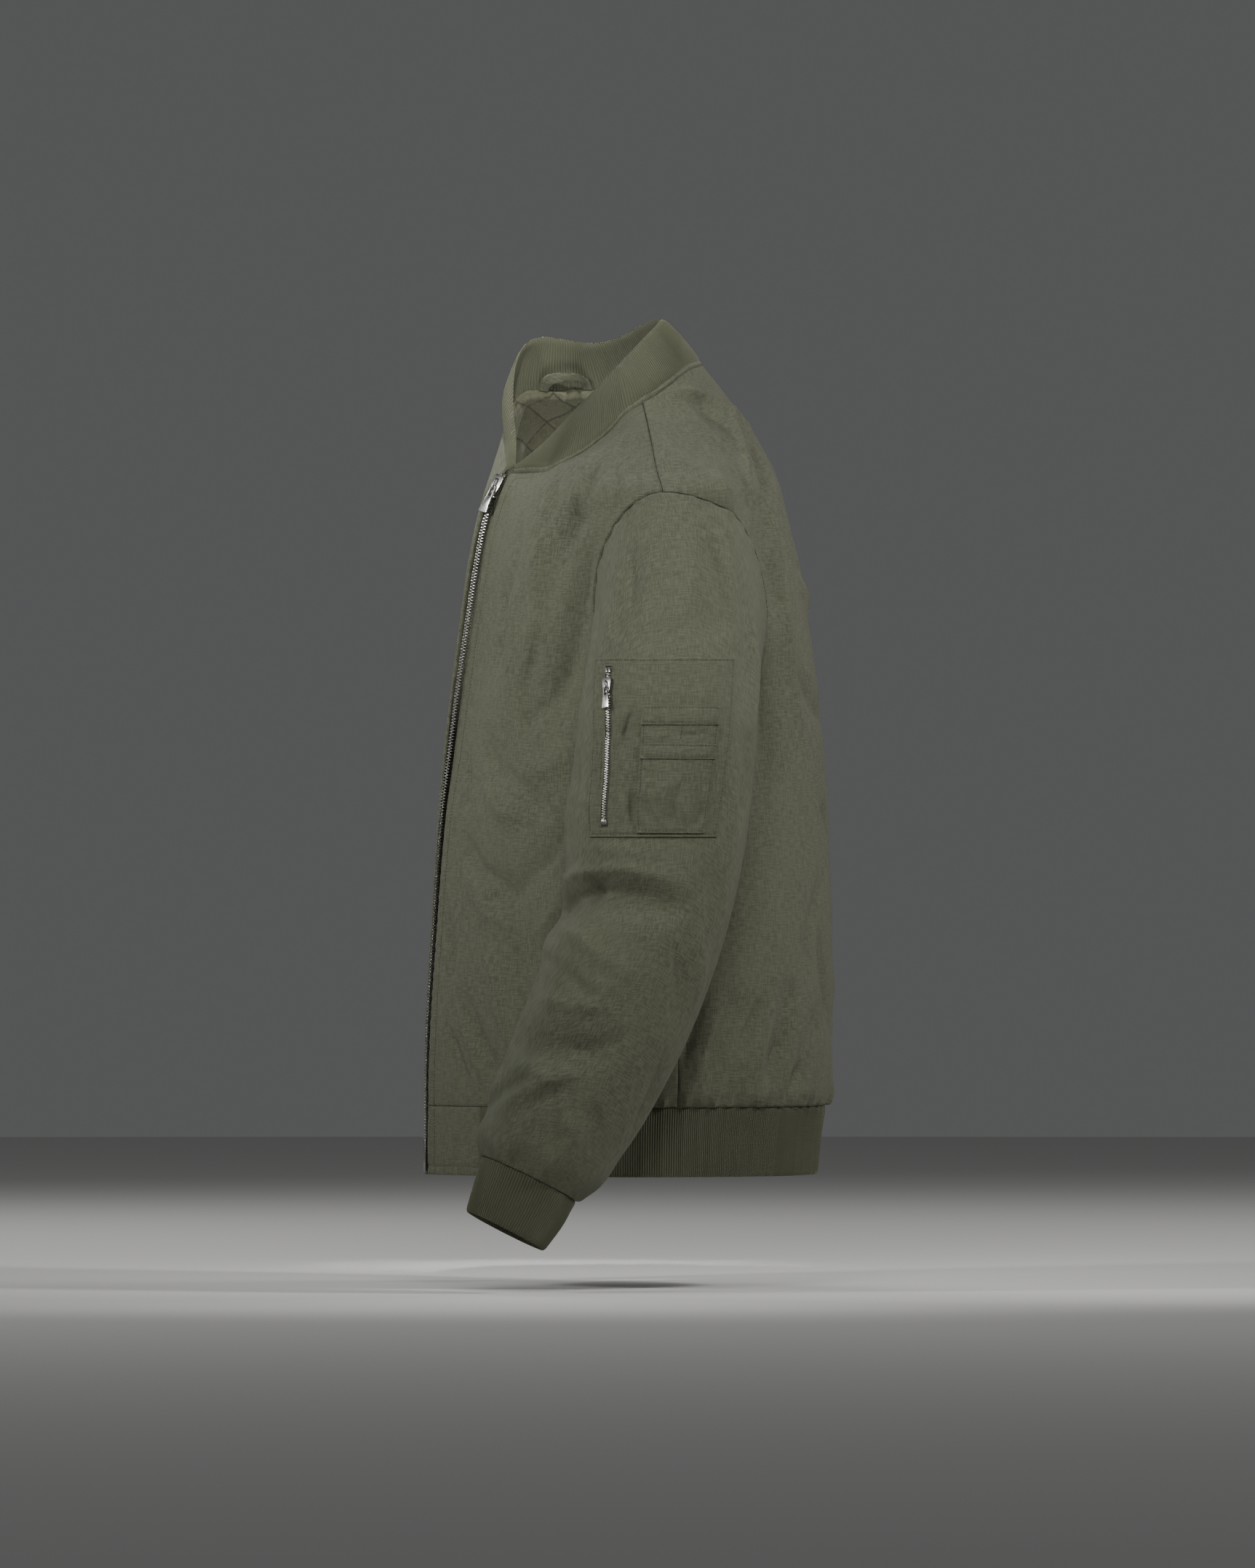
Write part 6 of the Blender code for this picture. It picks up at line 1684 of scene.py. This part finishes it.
def pocket_layer(node, name, rows, cells, above, thick, rumple, stitch_at, slot=None):
    place, height = pocket_grid(rows, cells)
    out = patch_out(height, place) + above + thick
    flat = pocket_spot(height, place, out)
    near = border_distance(flat, ALL_SIDES)
    along = lengths_along(flat, 1) + lengths_along(flat, 0)
    shape = -0.45 * np.exp(-(near / 0.45)**ROLL_SHARPNESS) + channel(near, stitch_at, 0.7, 0.7)
    shape = shape + 0.25 * wave(along, 7.7) * bell(near, 3, 3)
    shape = shape + RUMPLE_DEPTH * creases(rumple, place * 100, height, 0.6) * ease(near, 0.5, 3.5)
    holes = None
    if slot is not None:
        low, high, start, end = slot
        cell_place, cell_height = ((grid[:-1, :-1] + grid[1:, 1:]) / 2 for grid in (place, height))
        holes = (cell_place > low) & (cell_place < high) & (cell_height < start) & (cell_height > end)
        beside = np.maximum(np.abs(place - POCKET_ZIP_PLACE) - (high - low) / 2, 0) * 60
        shape = shape - 0.4 * np.exp(-(beside / 0.5)**ROLL_SHARPNESS) * (height < start + 1) * (height > end - 1)
        shape = shape + channel(beside, 3.0, 0.7, 0.6) * (height < start + 3) * (height > end - 3)
    uv = np.stack([lengths_along(flat, 1), height], axis=-1)
    inner = pocket_spot(height, place, out - thick + np.maximum(shape, 0) * 0.8)
    return shell_piece(node, name, pocket_spot(height, place, out + shape), inner, POCKET_CLOTH, uv, holes=holes)


RUMPLE_DEPTH = 2.1
PATCH_RUMPLE = [     # places are in hundredths across the pocket
    (3.0, -1.0, (38, -262), (44, -284), (42, -310)), (2.6, 0.9, (46, -270), (52, -292), (49, -316)),
    (3.0, -1.0, (30, -322), (26, -340), (24, -360)), (3.4, 0.9, (-86, -250), (-82, -284), (-84, -320)),
    (3.4, -0.8, (-60, -232), (-30, -240), (0, -236)), (3.0, 0.8, (10, -244), (30, -250), (44, -246)),
    (3.0, -0.9, (88, -280), (84, -310), (88, -338))]
PEN_RUMPLE = [
    (2.6, -1.1, (-66, -322), (-58, -340), (-64, -360)), (2.6, 1.0, (-52, -318), (-44, -338), (-50, -358)),
    (3.0, -1.2, (-34, -326), (-22, -344), (-30, -366)), (2.6, 1.0, (-16, -320), (-8, -336), (-14, -352)),
    (2.6, -1.0, (4, -324), (10, -342), (2, -362)), (2.4, 0.9, (14, -330), (18, -350), (14, -366)),
    (2.6, -0.8, (-60, -284), (-40, -288), (-22, -286)), (2.6, 0.8, (-14, -286), (2, -290), (16, -287)),
    (2.4, -1.3, (20, -316), (12, -322), (2, -318)), (2.2, 1.1, (-74, -366), (-66, -356), (-72, -344))]
patch = pocket_layer("pocket_patch", "pocket_patch_cloth", (0, 12), (0, 13), -PATCH_WALL, PATCH_WALL, PATCH_RUMPLE,
                     PATCH_STITCH, slot=SLOT)
pen = pocket_layer("pen_pocket", "pen_pocket_cloth", (3, 11), (2, 7), SEAM_GAP, LAYER, PEN_RUMPLE, PEN_STITCH)
pen_band, pen_mouth = (
    pocket_layer(node, node + "_cloth", rows, (2, 7), SEAM_GAP * 2 + LAYER, LAYER, [], EDGE_STITCH)
    for node, rows in (("pen_pocket_band", (3, 4)), ("pen_pocket_mouth", (5, 6))))
print("pocket", {name: area for name, area in SHEET_AREAS.items() if "pocket" in name})


# %% Pocket zip
def pocket_zip(height, across, out):
    """Across in millimetres from the middle of the pocket's zip."""
    return pocket_spot(height, POCKET_ZIP_PLACE + across / POCKET_ZIP_SCALE, out)


pocket_tape = tape_strip(
    "pocket_tape_woven", "pocket_tape", pocket_zip, np.array([-2.94, -2.5, -1.6, 0, 1.6, 2.5, 2.94]),
    np.linspace(-363.5, -230.5, 62), 1.05, 0.35, curl=0.1)
pocket_frames = frames_along(pocket_zip, np.arange(-357.5, -235, 1.05))
pocket_teeth = teeth_mesh("pocket_teeth", *pocket_frames, 2.28, 0.68, BRIGHT_NICKEL)
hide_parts("pocket_chain")

# %% [markdown]
# ## Sewing
#
# A seam that is sewn through from the outside shows its stitches: short dashes of thread that sink into the
# cloth at both ends. Here every dash is a small bead, laid along a line that keeps its distance from a
# piece's edge, in the shallow channels made above. The thread is coloured darker than the cloth, as painted shade for
# the low dashes and the holes they sink into.

# %% Stitches
STITCH_PITCH, STITCH_LONG, STITCH_HALF = 2.9, 2.2, 0.34
STITCH_SINK, STITCH_RISE, STITCH_WAIST, BEAD_POINTS = 0.15, 0.1, 0.28, 10
BEAD_FACES = [(0, 2, 1), (0, 3, 2), (0, 4, 3), (0, 1, 4), (1, 2, 6, 5), (2, 3, 7, 6), (3, 4, 8, 7), (4, 1, 5, 8),
              (9, 5, 6), (9, 6, 7), (9, 7, 8), (9, 8, 5)]


def inset(name, side, at, keep=None, ends=(0, 0)):
    """A line on a piece that keeps its distance from one of its borders, with the ways out of the cloth."""
    outer, inner = GRIDS[name]
    if side in ("top", "bottom"):
        outer, inner = outer.swapaxes(0, 1), inner.swapaxes(0, 1)
    if side in ("right", "bottom"):
        outer, inner = outer[:, ::-1], inner[:, ::-1]
    far = lengths_along(outer, 1)
    line, under = (np.array([[np.interp(at, reach, row[:, k]) for k in range(3)] for reach, row in zip(far, grid)])
                   for grid in (outer, inner))
    chosen = np.ones(len(line), bool) if keep is None else keep(line)
    return line[chosen], (line - under)[chosen], *ends


def sew(name, lines):
    corners = np.array([(1, 0), (0, 1), (-1, 0), (0, -1)]) * STITCH_HALF
    beads = []
    for line, out, first, last in lines:
        reach = np.concatenate([[0], np.cumsum(np.linalg.norm(np.diff(line, axis=0), axis=1))])
        at = np.arange(first + 1.2, reach[-1] - last - 1.2, STITCH_PITCH)
        read = lambda values, place: np.stack([np.interp(place, reach, values[:, k]) for k in range(3)], axis=-1)
        way, up = unit(read(line, at + 1) - read(line, at - 1)), unit(read(out, at))
        across = np.cross(up, way)
        rows = [read(line, at - STITCH_LONG / 2) - up * STITCH_SINK]
        for shift in (-STITCH_WAIST, STITCH_WAIST):
            rows += [read(line, at + shift * STITCH_LONG) + up * (STITCH_RISE + b) + across * a for a, b in corners]
        rows.append(read(line, at + STITCH_LONG / 2) - up * STITCH_SINK)
        beads.append(np.stack(rows, axis=1))
    points = np.concatenate(beads).reshape(-1, 3)
    faces = [[base + k for k in face] for base in range(0, len(points), BEAD_POINTS) for face in BEAD_FACES]
    piece = small_solids(name, points, faces, THREAD_PAINTED_SHADE, BEAD_ANGLE)


def on_pocket(start, end, above):
    """A straight line on the pocket from one (place, height) to another."""
    share = np.linspace(0, 1, 40)
    place, height = start[0] + (end[0] - start[0]) * share, start[1] + (end[1] - start[1]) * share
    line = pocket_spot(height, place, patch_out(height, place) + above)
    return line, pocket_spot(height, place, patch_out(height, place) + above + 1) - line, 0, 0


def beside_zip(line):
    return (np.abs(line[:, 0]) < 24) & (line[:, 2] < NECK_FRONT_Z - 3)


def on_armhole(line):
    return (line[:, 2] > UNDERARM_Z) & (line[:, 2] < SHOULDER_TIP_Z - 2)


FRONTS, BLOCKS = ("left_front_shell", "right_front_shell"), ("hem_block_left_cloth", "hem_block_right_cloth")
SLOT_HEIGHTS = (-226.5, -367.5)                            # the stitching above and below the pocket's slot
sew("front_stitches", [inset(name, "left", PLACKET_IN, beside_zip) for name in FRONTS]
    + [inset(name, *line) for name in BLOCKS for line in (("left", PLACKET_IN), ("top", BLOCK_LINE_UP))]
    + [inset(name, "bottom", EDGE_STITCH) for name in FRONTS])
sew("armhole_stitches", [inset(name, side, EDGE_STITCH, on_armhole) for name, side in (
    (FRONTS[0], "right"), (FRONTS[1], "right"), ("back_shell", "left"), ("back_shell", "right"))])
sew("neck_stitches", [inset("neck_band_cloth", "top", 1.5)])
sew("pocket_stitches", [
    inset(layer.name, side, at, ends=(at, at))
    for layer, at in ((patch, PATCH_STITCH), (pen, PEN_STITCH)) for side in ALL_SIDES]
    + [inset(band.name, side, EDGE_STITCH, ends=(1, 1)) for band in (pen_band, pen_mouth) for side in ("top", "bottom")]
    + [on_pocket((place, SLOT_HEIGHTS[0]), (place, SLOT_HEIGHTS[1]), -0.5) for place in (0.595, 0.805)]
    + [on_pocket((0.60, height), (0.80, height), -0.1) for height in SLOT_HEIGHTS]
    + [on_pocket((-0.27, -280), (-0.27, -293), LAYER + 0.3), on_pocket((0.07, -265), (0.07, -278), 2 * LAYER + 0.4),
       on_pocket((-0.27, -265), (-0.27, -278), 2 * LAYER + 0.4)])
